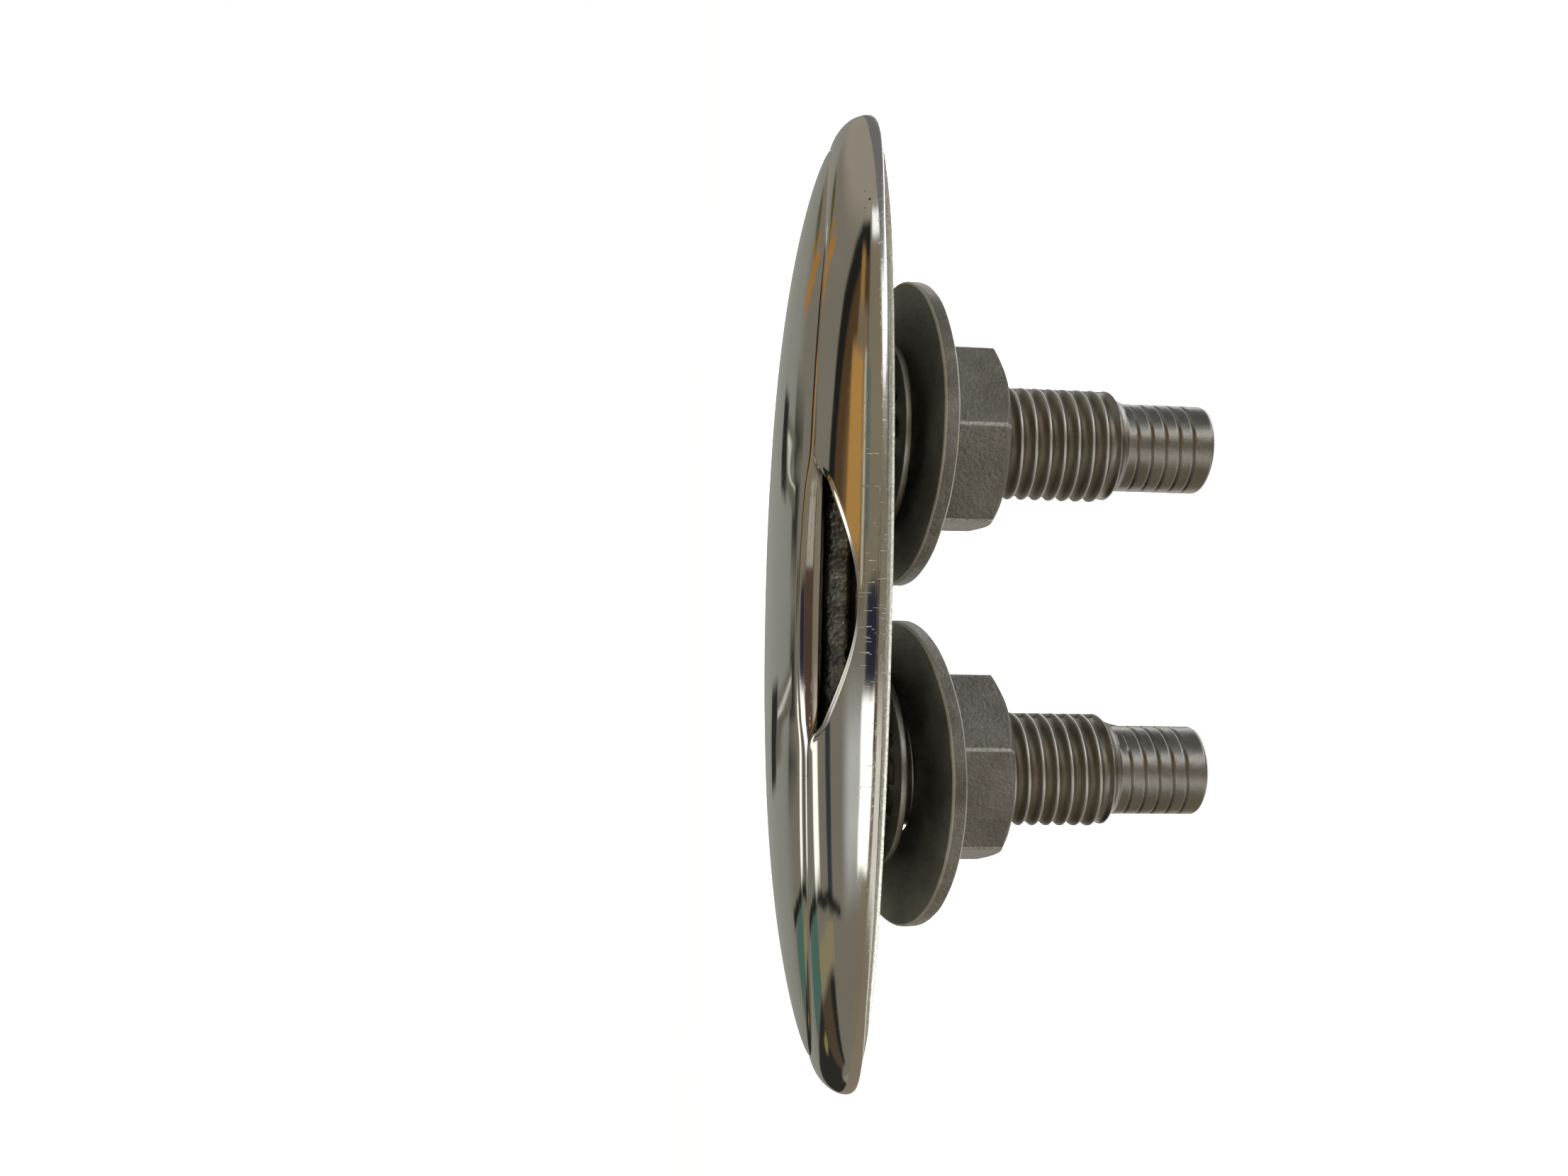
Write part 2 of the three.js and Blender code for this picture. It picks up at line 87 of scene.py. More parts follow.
# ---------------------------------------------------------------- mesh helpers
def build(name, points, faces, materials, face_slots=None, sharp=35):
    """One mesh object from points in units, smooth apart from edges sharper than the angle."""
    mesh = bpy.data.meshes.new(name)
    corners = [tuple(p) for p in np.asarray(points) * UNIT]
    mesh.from_pydata(corners, [], [tuple(int(i) for i in f) for f in faces])
    for m in materials:
        mesh.materials.append(m)
    if face_slots is not None:
        mesh.polygons.foreach_set("material_index", np.asarray(face_slots, dtype=np.int32))
    mesh.validate()
    mesh.update()
    mesh.polygons.foreach_set("use_smooth", [True] * len(mesh.polygons))
    if sharp:
        mesh.set_sharp_from_angle(angle=math.radians(sharp))
    obj = bpy.data.objects.new(name, mesh)
    bpy.context.scene.collection.objects.link(obj)
    return obj


def band_faces(rows, cols, close_rows=False):
    """Quads between successive closed rings of points; the rings may close on themselves too."""
    i = np.arange(cols)
    j = (i + 1) % cols
    out = []
    for r in range(rows if close_rows else rows - 1):
        a, b = r * cols, ((r + 1) % rows) * cols
        out.append(np.stack([a + i, a + j, b + j, b + i], -1))
    return np.concatenate(out)


def skin(name, rings, materials, slots=None, caps=True, sharp=35):
    """Closed skin over a stack of rings (rows x cols x 3); caps=False joins the last ring to the first."""
    rings = np.asarray(rings, dtype=float)
    rows, cols = rings.shape[:2]
    points = rings.reshape(-1, 3)
    faces = band_faces(rows, cols, close_rows=not caps).tolist()
    which = [] if slots is None else [s for s in slots[: rows if not caps else rows - 1] for _ in range(cols)]
    if caps:
        low, high = len(points), len(points) + 1
        points = np.concatenate([points, rings[0].mean(0)[None], rings[-1].mean(0)[None]])
        top = (rows - 1) * cols
        for i in range(cols):
            j = (i + 1) % cols
            faces.append((low, j, i))
            faces.append((high, top + i, top + j))
        if slots is not None:
            which += [slots[0], slots[-1]] * cols
    return build(name, points, faces, materials, which if slots is not None else None, sharp)


def lathe(name, profile, materials, cols=128, at=(0, 0, 0), tilt=0.0, caps=True, sharp=35, wobble=None,
          slots=None):
    """Turned body about +Z through at, from [radius, z] pairs; tilt leans it about X, in degrees."""
    profile = np.asarray(profile, dtype=float)
    t = np.arange(cols) / cols * TAU
    rings = np.empty((len(profile), cols, 3))
    rings[..., 0] = profile[:, :1] * np.cos(t)
    rings[..., 1] = profile[:, :1] * np.sin(t)
    rings[..., 2] = profile[:, 1:]
    if wobble is not None:
        rings = wobble(rings)
    return skin(name, lean(rings, tilt) + np.asarray(at), materials, slots, caps=caps, sharp=sharp)


def lean(points, degrees):
    """Turns the points about +X."""
    c, s = math.cos(math.radians(degrees)), math.sin(math.radians(degrees))
    out = np.array(points, dtype=float)
    y, z = points[..., 1], points[..., 2]
    out[..., 1], out[..., 2] = y * c - z * s, y * s + z * c
    return out


def arc(r0, z0, radius, start, stop, steps=6):
    """Points of a round in the [radius, z] half plane, angles in degrees."""
    a = np.radians(np.linspace(start, stop, steps))
    return [[r0 + radius * math.cos(k), z0 + radius * math.sin(k)] for k in a]


def ripple(points, scale, seed=0):
    """Smooth repeatable unevenness between -1 and 1, from sums of slanted sines; scale in units."""
    rng = np.random.default_rng(seed)
    total = np.zeros(points.shape[:-1])
    for _ in range(14):
        k = rng.normal(size=3)
        k *= TAU / scale * rng.uniform(0.6, 1.5) / np.linalg.norm(k)
        total += np.sin(points @ k + rng.uniform(0, TAU))
    return total / 14 ** 0.5 / 1.6


def circle(t, radius, z):
    """One ring of points about +Z; radius and z may each be one number or one for each angle."""
    return np.stack([radius * np.cos(t), radius * np.sin(t), np.zeros_like(t) + z], -1)


def drill(obj, cutters, sharp):
    """Cuts the cutters out of the piece, and removes them."""
    for cutter in cutters:
        m = obj.modifiers.new("hole", "BOOLEAN")
        m.operation, m.solver, m.object = "DIFFERENCE", "EXACT", cutter
    bpy.context.view_layer.update()
    graph = bpy.context.evaluated_depsgraph_get()
    mesh = bpy.data.meshes.new_from_object(obj.evaluated_get(graph))
    obj.modifiers.clear()
    obj.data = mesh
    mesh.set_sharp_from_angle(angle=math.radians(sharp))
    for cutter in cutters:
        bpy.data.objects.remove(cutter)


def weld_points(obj, sharp):
    """Merges points that lie on top of each other."""
    bm = bmesh.new()
    bm.from_mesh(obj.data)
    bmesh.ops.remove_doubles(bm, verts=bm.verts, dist=1e-6)
    bmesh.ops.dissolve_degenerate(bm, edges=bm.edges, dist=1e-7)
    bm.to_mesh(obj.data)
    bm.free()
    obj.data.polygons.foreach_set("use_smooth", [True] * len(obj.data.polygons))
    obj.data.set_sharp_from_angle(angle=math.radians(sharp))


def place(obj, body, slot, *nodes):
    """Puts the piece on its body, in place of the CAD nodes. slot is not used."""
    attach(obj, body)
    if nodes:
        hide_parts(*nodes)
    return obj


# ---------------------------------------------------------------- materials
class Nodes:
    """Short ways to add nodes to a tree; sockets and plain values mix freely."""

    def __init__(self, tree):
        self.tree = tree

    def link(self, a, b):
        self.tree.links.new(a, b)

    def feed(self, socket, v):
        if isinstance(v, tuple):
            socket.default_value = (*v, 1)
        elif isinstance(v, (int, float)):
            socket.default_value = v
        else:
            self.link(v, socket)

    def ramp(self, value, *stops):
        n = self.tree.nodes.new("ShaderNodeValToRGB")
        ramp = n.color_ramp
        while len(ramp.elements) < len(stops):
            ramp.elements.new(0.5)
        for e, (pos, col) in zip(ramp.elements, stops):
            e.position = pos
            e.color = (*col, 1) if isinstance(col, tuple) else (col, col, col, 1)
        self.link(value, n.inputs["Fac"])
        return n.outputs["Color"]

    def math(self, op, a, b=0.0, c=0.0):
        n = self.tree.nodes.new("ShaderNodeMath")
        n.operation = op
        for socket, v in zip(n.inputs, (a, b, c)):
            self.feed(socket, v)
        return n.outputs[0]

    def mix(self, fac, a, b, how="MIX"):
        n = self.tree.nodes.new("ShaderNodeMix")
        n.data_type, n.blend_type = "RGBA", how
        for key, v in (("Factor", fac), ("A", a), ("B", b)):
            kind = "VALUE" if key == "Factor" else "RGBA"
            self.feed([s for s in n.inputs if s.name == key and s.type == kind][0], v)
        return [s for s in n.outputs if s.type == "RGBA"][0]

    def smooth(self, value, start, stop):
        """0 before start, 1 after stop, eased; start may be the larger of the two."""
        n = self.tree.nodes.new("ShaderNodeMapRange")
        n.interpolation_type = "SMOOTHSTEP"
        self.link(value, n.inputs["Value"])
        n.inputs["From Min"].default_value, n.inputs["From Max"].default_value = start, stop
        return n.outputs["Result"]

    def between(self, value, low, high, soft):
        """1 from low to high, eased over soft on each side."""
        rise = self.smooth(value, low - soft, low + soft)
        return self.math("MULTIPLY", rise, self.smooth(value, high + soft, high - soft))


class Graph(Nodes):
    """A node material on the object's own coordinates, in metres."""

    def __init__(self, name, displayed):
        self.mat = bpy.data.materials.new(name)
        self.mat.use_nodes = True
        self.mat.diffuse_color = (*displayed, 1)
        super().__init__(self.mat.node_tree)
        self.shader = self.tree.nodes["Principled BSDF"]
        self.coord = self.tree.nodes.new("ShaderNodeTexCoord").outputs["Object"]

    def mapped(self, scale):
        n = self.tree.nodes.new("ShaderNodeMapping")
        n.inputs["Scale"].default_value = scale
        self.link(self.coord, n.inputs["Vector"])
        return n.outputs["Vector"]

    def noise(self, scale, detail=4.0, rough=0.55, stretch=None, distortion=0.0):
        n = self.tree.nodes.new("ShaderNodeTexNoise")
        n.inputs["Scale"].default_value = scale
        n.inputs["Detail"].default_value = detail
        n.inputs["Roughness"].default_value = rough
        n.inputs["Distortion"].default_value = distortion
        self.link(self.mapped(stretch) if stretch else self.coord, n.inputs["Vector"])
        return n.outputs["Fac"]

    def cells(self, scale, feature="F1"):
        n = self.tree.nodes.new("ShaderNodeTexVoronoi")
        n.feature = feature
        n.inputs["Scale"].default_value = scale
        self.link(self.coord, n.inputs["Vector"])
        return n.outputs["Distance"]

    def axis(self, which):
        n = self.tree.nodes.new("ShaderNodeSeparateXYZ")
        self.link(self.coord, n.inputs[0])
        return n.outputs[which]

    def stud_radius(self):
        """Distance from the nearer stud axis, in units."""
        x = self.math("SUBTRACT", self.math("ABSOLUTE", self.axis(0)), STUD_X * UNIT)
        y = self.axis(1)
        square = self.math("MULTIPLY_ADD", x, x, self.math("MULTIPLY", y, y))
        return self.math("DIVIDE", self.math("SQRT", square), UNIT)

    def bump(self, *layers):
        """Each layer is (height, distance in metres)."""
        last = None
        for height, distance in layers:
            n = self.tree.nodes.new("ShaderNodeBump")
            n.inputs["Strength"].default_value = 1.0
            n.inputs["Distance"].default_value = distance
            self.link(height, n.inputs["Height"])
            if last is not None:
                self.link(last, n.inputs["Normal"])
            last = n.outputs["Normal"]
        self.link(last, self.shader.inputs["Normal"])

    def finish(self, colour, rough, metallic=0.0):
        self.shader.inputs["Metallic"].default_value = metallic
        self.feed(self.shader.inputs["Base Color"], colour)
        self.feed(self.shader.inputs["Roughness"], rough)
        return self.mat


SCUFF_TOP, NICK_TOP = 0.004, 0.007  # metres over the deck, where the scuffs and the nicks end


def polished_steel(name, rim_scuffs=True):
    """Buffed stainless casting: near mirror, slow waviness, hair scratches, pits and scuffs by the rim."""
    g = Graph(name, (0.66, 0.64, 0.60))
    hair = g.noise(1.0, 3.0, 0.6, stretch=(260, 5200, 3800))
    hair_mask = g.ramp(g.noise(90, 2.0), (0.46, 0.0), (0.66, 1.0))
    scratch = g.math("MULTIPLY", g.ramp(hair, (0.60, 0.0), (0.72, 1.0)), hair_mask)
    cloud = g.noise(45, 3.0)
    pits = g.ramp(g.cells(520), (0.0, 1.0), (0.055, 0.0))
    pit_mask = g.math("MULTIPLY", pits, g.ramp(g.noise(60, 1.0), (0.60, 0.0), (0.64, 1.0)))
    rough = g.math("MULTIPLY_ADD", cloud, 0.05, 0.035)
    rough = g.math("MULTIPLY_ADD", scratch, 0.11, rough)
    rough = g.math("MULTIPLY_ADD", pit_mask, 0.35, rough)
    heights = [(g.noise(38, 1.0, 0.3), 0.00006), (g.math("MULTIPLY", scratch, -1.0), 0.0000025)]
    colour = g.ramp(cloud, (0.3, (0.60, 0.585, 0.55)), (0.7, (0.68, 0.665, 0.63)))
    if rim_scuffs:
        low = g.ramp(g.math("MULTIPLY", g.axis(2), 1 / SCUFF_TOP), (0.30, 1.0), (0.72, 0.0))
        smears = g.noise(1.0, 4.0, 0.7, stretch=(900, 2600, 1500), distortion=0.6)
        scuff = g.math("MULTIPLY", low, g.ramp(smears, (0.56, 0.0), (0.70, 1.0)))
        # short nicks across the rim, only near mid length
        dash = g.ramp(g.noise(1.0, 1.0, 0.4, stretch=(3600, 900, 360)), (0.69, 0.0), (0.74, 1.0))
        dash = g.math("MULTIPLY", dash, g.smooth(g.math("ABSOLUTE", g.axis(0)), 32 * UNIT, 18 * UNIT))
        scuff = g.math("MAXIMUM", scuff, g.math("MULTIPLY", dash, g.smooth(g.axis(2), NICK_TOP, SCUFF_TOP)))
        rough = g.math("MULTIPLY_ADD", scuff, 0.28, rough)
        heights.append((g.math("MULTIPLY", scuff, -1.0), 0.000012))
    for at, size in PITS:
        away = g.tree.nodes.new("ShaderNodeVectorMath")
        away.operation = "DISTANCE"
        g.link(g.coord, away.inputs[0])
        away.inputs[1].default_value = [v * UNIT for v in at]
        pit = g.smooth(away.outputs["Value"], size * UNIT * 1.2, size * UNIT * 0.8)
        pit_mask = g.math("MAXIMUM", pit_mask, pit)
    colour = g.mix(pit_mask, colour, (0.10, 0.09, 0.08))
    heights.append((g.math("MULTIPLY", pit_mask, -1.0), 0.00008))
    g.bump(*heights)
    return g.finish(colour, g.math("MINIMUM", rough, 0.6), 1.0)


def cast_steel(name):
    """Unpolished recess of the casting: dark, pebbled by the mould."""
    g = Graph(name, (0.2, 0.2, 0.19))
    grain = g.noise(2200, 4.0, 0.6)
    pebble = g.cells(1600, "SMOOTH_F1")
    tone = g.ramp(g.noise(220, 3.0), (0.34, (0.13, 0.135, 0.13)), (0.66, (0.36, 0.365, 0.35)))
    # the hollows between the pebbles are painted darker: painted shade
    colour = g.mix(g.ramp(pebble, (0.35, 0.0), (0.80, 0.7)), tone, (0.04, 0.04, 0.038))
    # under the scallops the ends and the wall below the lip are painted darker, painted shade, so that only
    # the middle stays light as if lit
    along, across = (g.math("ABSOLUTE", g.axis(i)) for i in (0, 1))
    # ends is the mask of the painted shade towards the ends of the scallops
    ends = g.math("MULTIPLY", g.smooth(along, 4 * UNIT, 16 * UNIT), g.smooth(across, 14 * UNIT, 17 * UNIT))
    colour = g.mix(ends, colour, g.mix(1.0, colour, (0.30, 0.30, 0.30), "MULTIPLY"))
    under_lip = g.smooth(across, 20.6 * UNIT, 21.4 * UNIT)
    colour = g.mix(under_lip, colour, (0.05, 0.052, 0.05))
    rough = g.math("MULTIPLY_ADD", grain, 0.25, 0.20)
    g.bump((pebble, -0.00009), (grain, 0.00004))
    return g.finish(colour, rough, 1.0)


def pickled_steel(name, base, contrast, grain_scale, bumps, rough, pebbles=0.0, threaded=False, hexed=None):
    """Satin acid-pickled stainless: brown-grey, granular, with stains; thread crests and nut corners get a
    painted highlight, and thread valleys get painted shade.

    base is the middle tone, bumps and pebbles are heights in metres, and hexed is (side, turn) of a nut.
    """
    g = Graph(name, (base,) * 3)
    stain = g.noise(120, 5.0, 0.62)
    grain = g.noise(grain_scale, 6.0, 0.7)
    fine = g.noise(5200, 3.0, 0.6)
    lo, hi = base - contrast, base + contrast
    tone = g.ramp(stain, (0.28, (lo, lo * 0.965, lo * 0.88)), (0.72, (hi, hi * 0.975, hi * 0.92)))
    speck = g.ramp(fine, (0.36, (0.78, 0.77, 0.75)), (0.66, (1.0, 1.0, 1.0)))
    colour = g.mix(1.0, tone, speck, "MULTIPLY")
    r = g.math("MULTIPLY_ADD", stain, 0.18, rough - 0.09)
    r = g.math("MULTIPLY_ADD", grain, 0.16, r)
    if threaded:
        # the thread crests are painted lighter, a painted highlight, and the valleys are painted darker and
        # browner, painted shade
        below = g.smooth(g.axis(2), (THREAD_END + 2.0) * UNIT, (THREAD_END + 4.0) * UNIT)
        valley = g.math("MULTIPLY", g.smooth(g.stud_radius(), THREAD_R - 0.16, THREAD_R - 0.62), below)
        # crest is the mask of the painted highlight on the thread crests
        crest = g.math("MULTIPLY", g.smooth(g.stud_radius(), THREAD_R - 0.14, THREAD_R - 0.03), below)
        colour = g.mix(valley, colour, g.mix(1.0, colour, (0.62, 0.57, 0.47), "MULTIPLY"))
        colour = g.mix(crest, colour, (0.62, 0.61, 0.58))
        r = g.math("MULTIPLY_ADD", valley, 0.10, r)
        r = g.math("MULTIPLY_ADD", g.math("SUBTRACT", 1.0, below), -0.09, r)
    if hexed:
        # the six corners of the nut are painted as a broken bright line: a painted highlight
        side, turn = hexed
        from_axis = g.math("SUBTRACT", g.axis(0), side * STUD_X * UNIT)
        around = g.math("MULTIPLY", g.math("ARCTAN2", g.axis(1), from_axis), 360 / TAU)
        from_corner = g.math("ABSOLUTE", g.math("WRAP", g.math("SUBTRACT", around, turn + 30), 30.0, -30.0))
        rubbed = g.math("MULTIPLY", g.smooth(from_corner, 1.5, 0.5), g.smooth(grain, 0.30, 0.55))
        colour = g.mix(rubbed, colour, (0.80, 0.78, 0.74))
        r = g.math("MULTIPLY_ADD", rubbed, -0.10, r)
    layers = [(grain, bumps), (fine, bumps * 0.25)]
    if pebbles:
        layers.append((g.cells(grain_scale * 0.7, "SMOOTH_F1"), -pebbles))
    g.bump(*layers)
    return g.finish(colour, r, 1.0)


def foam(name):
    """Closed-cell gasket foam: pale, with a granular open cut edge."""
    g = Graph(name, (0.7, 0.71, 0.65))
    cell = g.cells(1500)
    grain = g.noise(2300, 5.0, 0.7)
    tone = g.ramp(grain, (0.30, (0.50, 0.51, 0.45)), (0.62, (0.78, 0.79, 0.72)))
    # the open cells are painted darker: painted shade in the pores
    colour = g.mix(g.ramp(cell, (0.05, 0.55), (0.3, 0.0)), tone, (0.36, 0.37, 0.32))
    g.bump((cell, 0.00016), (grain, 0.0001))
    return g.finish(colour, 0.93)


def moulded(name, colour, rough, texture=900):
    """Plain moulded plastic or rubber with a faint grain."""
    g = Graph(name, colour)
    grain = g.noise(texture, 4.0, 0.6)
    dark = tuple(c * 0.82 for c in colour)
    g.bump((grain, 0.00003))
    return g.finish(g.ramp(g.noise(180, 3.0), (0.35, dark), (0.65, colour)),
                    g.math("MULTIPLY_ADD", grain, 0.2, rough - 0.1))


MIRROR = polished_steel("mirror_casting")
MIRROR_ROD = polished_steel("ground_rod", rim_scuffs=False)
CAST = cast_steel("rough_casting")
STUD_STEEL = pickled_steel("stud_steel", 0.36, 0.07, 1900, 0.00003, 0.33, threaded=True)
NUT_STEEL = {label: pickled_steel(f"{label}_nut_steel", 0.36, 0.09, 2100, 0.0003, 0.33, pebbles=0.00016,
                                  hexed=(fix["side"], fix["turn"]))
             for label, fix in FIXINGS.items()}
WASHER_STEEL = pickled_steel("washer_steel", 0.37, 0.10, 1900, 0.00010, 0.36)
RIM_STEEL = pickled_steel("washer_rim_steel", 0.37, 0.14, 2000, 0.0004, 0.31, pebbles=0.00018)
# lighter steel for the rounded corners of the washers: a painted highlight
EDGE_STEEL = pickled_steel("washer_edge_painted_highlight", 0.80, 0.10, 1900, 0.00012, 0.40)
STAR_STEEL = pickled_steel("star_washer_steel", 0.42, 0.10, 1900, 0.00003, 0.26)
FOAM = foam("gasket_foam")
PLASTIC = moulded("bush_plastic", (0.80, 0.78, 0.71), 0.45)
RUBBER = moulded("seal_rubber_black", (0.03, 0.03, 0.03), 0.6, 1500)


# ---------------------------------------------------------------- base casting
def seam_z(t):
    """Height of the seam between base and cleat: lowest at the two ends."""
    return SEAM_END + SEAM_RISE * np.sin(t) ** 2


def scallop(x):
    """How far the lip at length x stands out from the opening."""
    w = np.clip((SCALLOP_HALF - np.abs(x)) / SCALLOP_BLEND, 0, 1)
    return SCALLOP_DEPTH * np.maximum(0, 1 - (np.abs(x) / SCALLOP_HALF) ** 2.2) * w * w * (3 - 2 * w)


def slope_shape(s):
    """Share of its height that the outer slope has reached: steep at the wall, flatter at the seam."""
    def flank(k):
        return (1 - (1 - k * 0.78) ** 1.8) ** (1 / 1.8)
    return flank(s) / flank(1.0)


def slope_point(t, s):
    """Point on the outer slope of the base; s runs from 0 at the low wall to 1 at the seam."""
    a = BASE_A + (OPEN_A - BASE_A) * s
    b = BASE_B + (OPEN_B - BASE_B) * s
    z = WALL_Z + (seam_z(t) - WALL_Z) * slope_shape(s)
    return np.stack([a * np.cos(t), b * np.sin(t), z], -1)


def tips(t):
    """1 at the two ends of the oval, easing to 0 along the sides."""
    k = np.clip((np.abs(np.cos(t)) - 0.72) / 0.28, 0, 1)
    return k * k * (3 - 2 * k)


def block_ring(t, a, b, z):
    """Squarish oval of the raised block inside the recess."""
    c, s = np.cos(t), np.sin(t)
    x = a * np.sign(c) * np.abs(c) ** (2 / BLOCK_POWER)
    y = b * np.sign(s) * np.abs(s) ** (2 / BLOCK_POWER)
    return np.stack([x, y, np.full_like(t, z)], -1)


def ring(t, a, b, z):
    """Oval of points; z may be one number or one for each angle."""
    return np.stack([a * np.cos(t), b * np.sin(t), np.zeros_like(t) + z], -1)


def make_base():
    """Casting from the gasket pocket round the rim, up the slope, over the lip and down into the recess."""
    cols = 1080
    t = (np.arange(cols) + 0.5) / cols * TAU
    dip = scallop(LIP_A * np.cos(t)) / SCALLOP_DEPTH
    lip_s = 1 - dip * SCALLOP_DEPTH / (BASE_B - OPEN_B)
    rows, slots = [], []
    pocket_rows = 6

    def add(points, slot=0):
        rows.append(points)
        slots.append(slot)

    for k in (0.3, 0.6, 0.9):
        add(ring(t, POCKET_A * k, POCKET_B * k, POCKET_Z), 1)
    rim_z = RIM_Z - TIP_DROP * tips(t)
    for a, z in ((0.0, POCKET_Z), (0.02, 2.0), (0.04, rim_z + 0.25), (0.12, rim_z + 0.05), (0.25, rim_z)):
        add(ring(t, POCKET_A + a, POCKET_B + a, z), int(a < 0.03))
    for k in np.linspace(0, 1, 7):
        c, s = 1 - math.cos(k * math.pi / 2), math.sin(k * math.pi / 2)
        end = BASE_A - 1.0 * (1 - s)
        side = BASE_B - 0.35 * (1 - s)
        add(ring(t, end, side, rim_z + (WALL_Z - rim_z) * c))
    # the lip turns over from the outer slope into the inner wall
    turn_over = lip_s * (1 - 0.012)
    top = slope_point(t, turn_over)
    before = slope_point(t, lip_s * (1 - 0.05))
    along = top - before
    along /= np.linalg.norm(along, axis=-1, keepdims=True)
    inward = -np.stack([top[:, 0] / BASE_A ** 2, top[:, 1] / BASE_B ** 2, np.zeros(cols)], -1)
    inward /= np.linalg.norm(inward, axis=-1, keepdims=True)
    normal = np.cross(np.roll(top, -1, 0) - np.roll(top, 1, 0), along)
    normal /= np.linalg.norm(normal, axis=-1, keepdims=True)
    normal *= np.sign(normal[:, 2:])
    # the slope swells into a bead just before it turns over, where the lip dips for the fingers
    for k in np.linspace(0, 1, 44)[1:] ** 1.25:
        swell = np.clip((k - 0.84) / 0.15, 0, 1)
        swell = swell * swell * (3 - 2 * swell)
        add(slope_point(t, turn_over * k) + normal * (LIP_BEAD * dip * swell)[:, None])
    top = rows[-1]
    width = LIP_ROUND * (1 + LIP_WIDEN * dip)[:, None]
    centre = top - normal * width
    down = np.stack([np.zeros(cols), np.zeros(cols), -np.ones(cols)], -1)
    for k in np.linspace(0.15, 1, 7):
        a = k * math.pi / 2
        add(centre + width * (normal * math.cos(a) + inward * math.sin(a)))
    wall_top = rows[-1]
    drop = np.maximum(wall_top[:, 2] - FLOOR_Z, 0.25)
    for k in (0.25, 0.5, 0.72):
        add(wall_top + down * (drop * k)[:, None], 1 if k > 0.4 else 0)
    for k in np.linspace(0.2, 1, 5):
        a = k * math.pi / 2
        fallen = (drop * (0.72 + 0.28 * math.sin(a)))[:, None]
        add(wall_top + inward * (1.5 * (1 - math.cos(a))) + down * fallen, 1)
    # the recess floor, with a ledge below each scallop, runs in to the foot of the block
    edge = rows[-1].copy()
    base_line = block_ring(t, BLOCK_A + 1.7, BLOCK_B + 1.7, FLOOR_Z)
    for k in (*np.linspace(0.02, 0.34, 17), 0.45, 0.6, 0.8):
        p = edge * (1 - k) + base_line * k
        p[:, 2] = edge[:, 2] * (1 - k) ** 2 + FLOOR_Z * (1 - (1 - k) ** 2)
        ledge = LEDGE_RISE * np.exp(-((np.abs(p[:, 1]) - LEDGE_Y) / LEDGE_HALF) ** 2)
        p[:, 2] += ledge * (np.abs(p[:, 0]) < SCALLOP_HALF)
        add(p, 1)
    for g, z in ((1.7, 0.0), (1.25, 0.12), (0.9, 0.45), (0.7, 0.9), (0.55, 1.5), (0.4, 2.1), (0.25, 2.7),
                 (0.1, 3.2), (-0.1, 3.6), (-0.45, 3.88), (-0.9, 4.0), (-2.5, 4.0), (-5.0, 4.0)):
        add(block_ring(t, BLOCK_A + g, BLOCK_B + g, FLOOR_Z + z), 1)
    for k in (0.5, 0.25):
        add(block_ring(t, BLOCK_A * k, BLOCK_B * k, BLOCK_Z), 1)
    rows = np.array(rows)
    # only the cast inside is uneven; the rows of the gasket pocket, though cast, stay true
    rough = np.array(slots, dtype=bool)
    rough[:pocket_rows] = False
    ease = (np.convolve(rough.astype(float), np.ones(3) / 3, "same") * rough)[:, None]
    rows[..., 2] += (ripple(rows, 0.9, 3) * 0.03 + ripple(rows, 3.6, 4) * 0.06) * ease
    rows[..., 1] += ripple(rows, 1.2, 5) * 0.05 * ease
    obj = skin("base_casting", rows, [MIRROR, CAST], slots, sharp=42)
    stud_hole = [[STUD_HOLE_R, -2], [STUD_HOLE_R, 20]]
    screw_hole = [[SCREW_R, 0], [SCREW_R, 3.6], [SCREW_HEAD_R, 5.9], [SCREW_HEAD_R, 8]]
    cutters = []
    for side in (-1, 1):
        cutters.append(lathe("cut", stud_hole, [CAST], 96, (side * STUD_X, 0, 0)))
        cutters.append(lathe("cut", screw_hole, [CAST], 64, (side * SCREW_X, 0, 0)))
    drill(obj, cutters, 42)
    return place(obj, "base", "polished_steel", "base_bezel")


def make_gasket():
    """Foam oval with a slightly rounded lower edge, holed for the studs and screws."""
    cols = 900
    t = np.arange(cols) / cols * TAU
    a, b = GASKET_A, GASKET_B
    rows = [ring(t, a * k, b * k, 0) for k in (0.3, 0.6, 0.85, 0.97)]
    for k in np.linspace(0, 1, 4):
        c, s = math.cos(k * math.pi / 2), math.sin(k * math.pi / 2)
        rows.append(ring(t, a - 0.22 * (1 - s), b - 0.22 * (1 - s), 0.22 * (1 - c)))
    rows += [ring(t, a, b, z) for z in (0.5, 0.9, 1.3, 1.7, 2.1, 2.45)]
    rows += [ring(t, a - 0.05, b - 0.05, GASKET_TOP)]
    rows += [ring(t, a * k, b * k, GASKET_TOP) for k in (0.95, 0.6, 0.3)]
    rows = np.array(rows)
    for row, share in zip(range(3, 10), (1, 1, 1, 1, 1, 0.7, 0.3)):
        rows[row, :, 2] += TIP_TUCK * share * tips(t)
    edge = slice(5, 15)
    rows[edge, :, :2] *= (1 + ripple(rows[edge], 1.3, 8) * 0.0022)[..., None]
    obj = skin("foam_gasket", rows, [FOAM], sharp=50)
    cutters = [lathe("cut", [[r, -2], [r, 6]], [FOAM], 96, (x, 0, 0))
               for s in (-1, 1) for r, x in ((STUD_GASKET_R, s * STUD_X), (SCREW_GASKET_R, s * SCREW_X))]
    drill(obj, cutters, 50)
    return place(obj, "base", "foam_gasket", "deck_gasket")


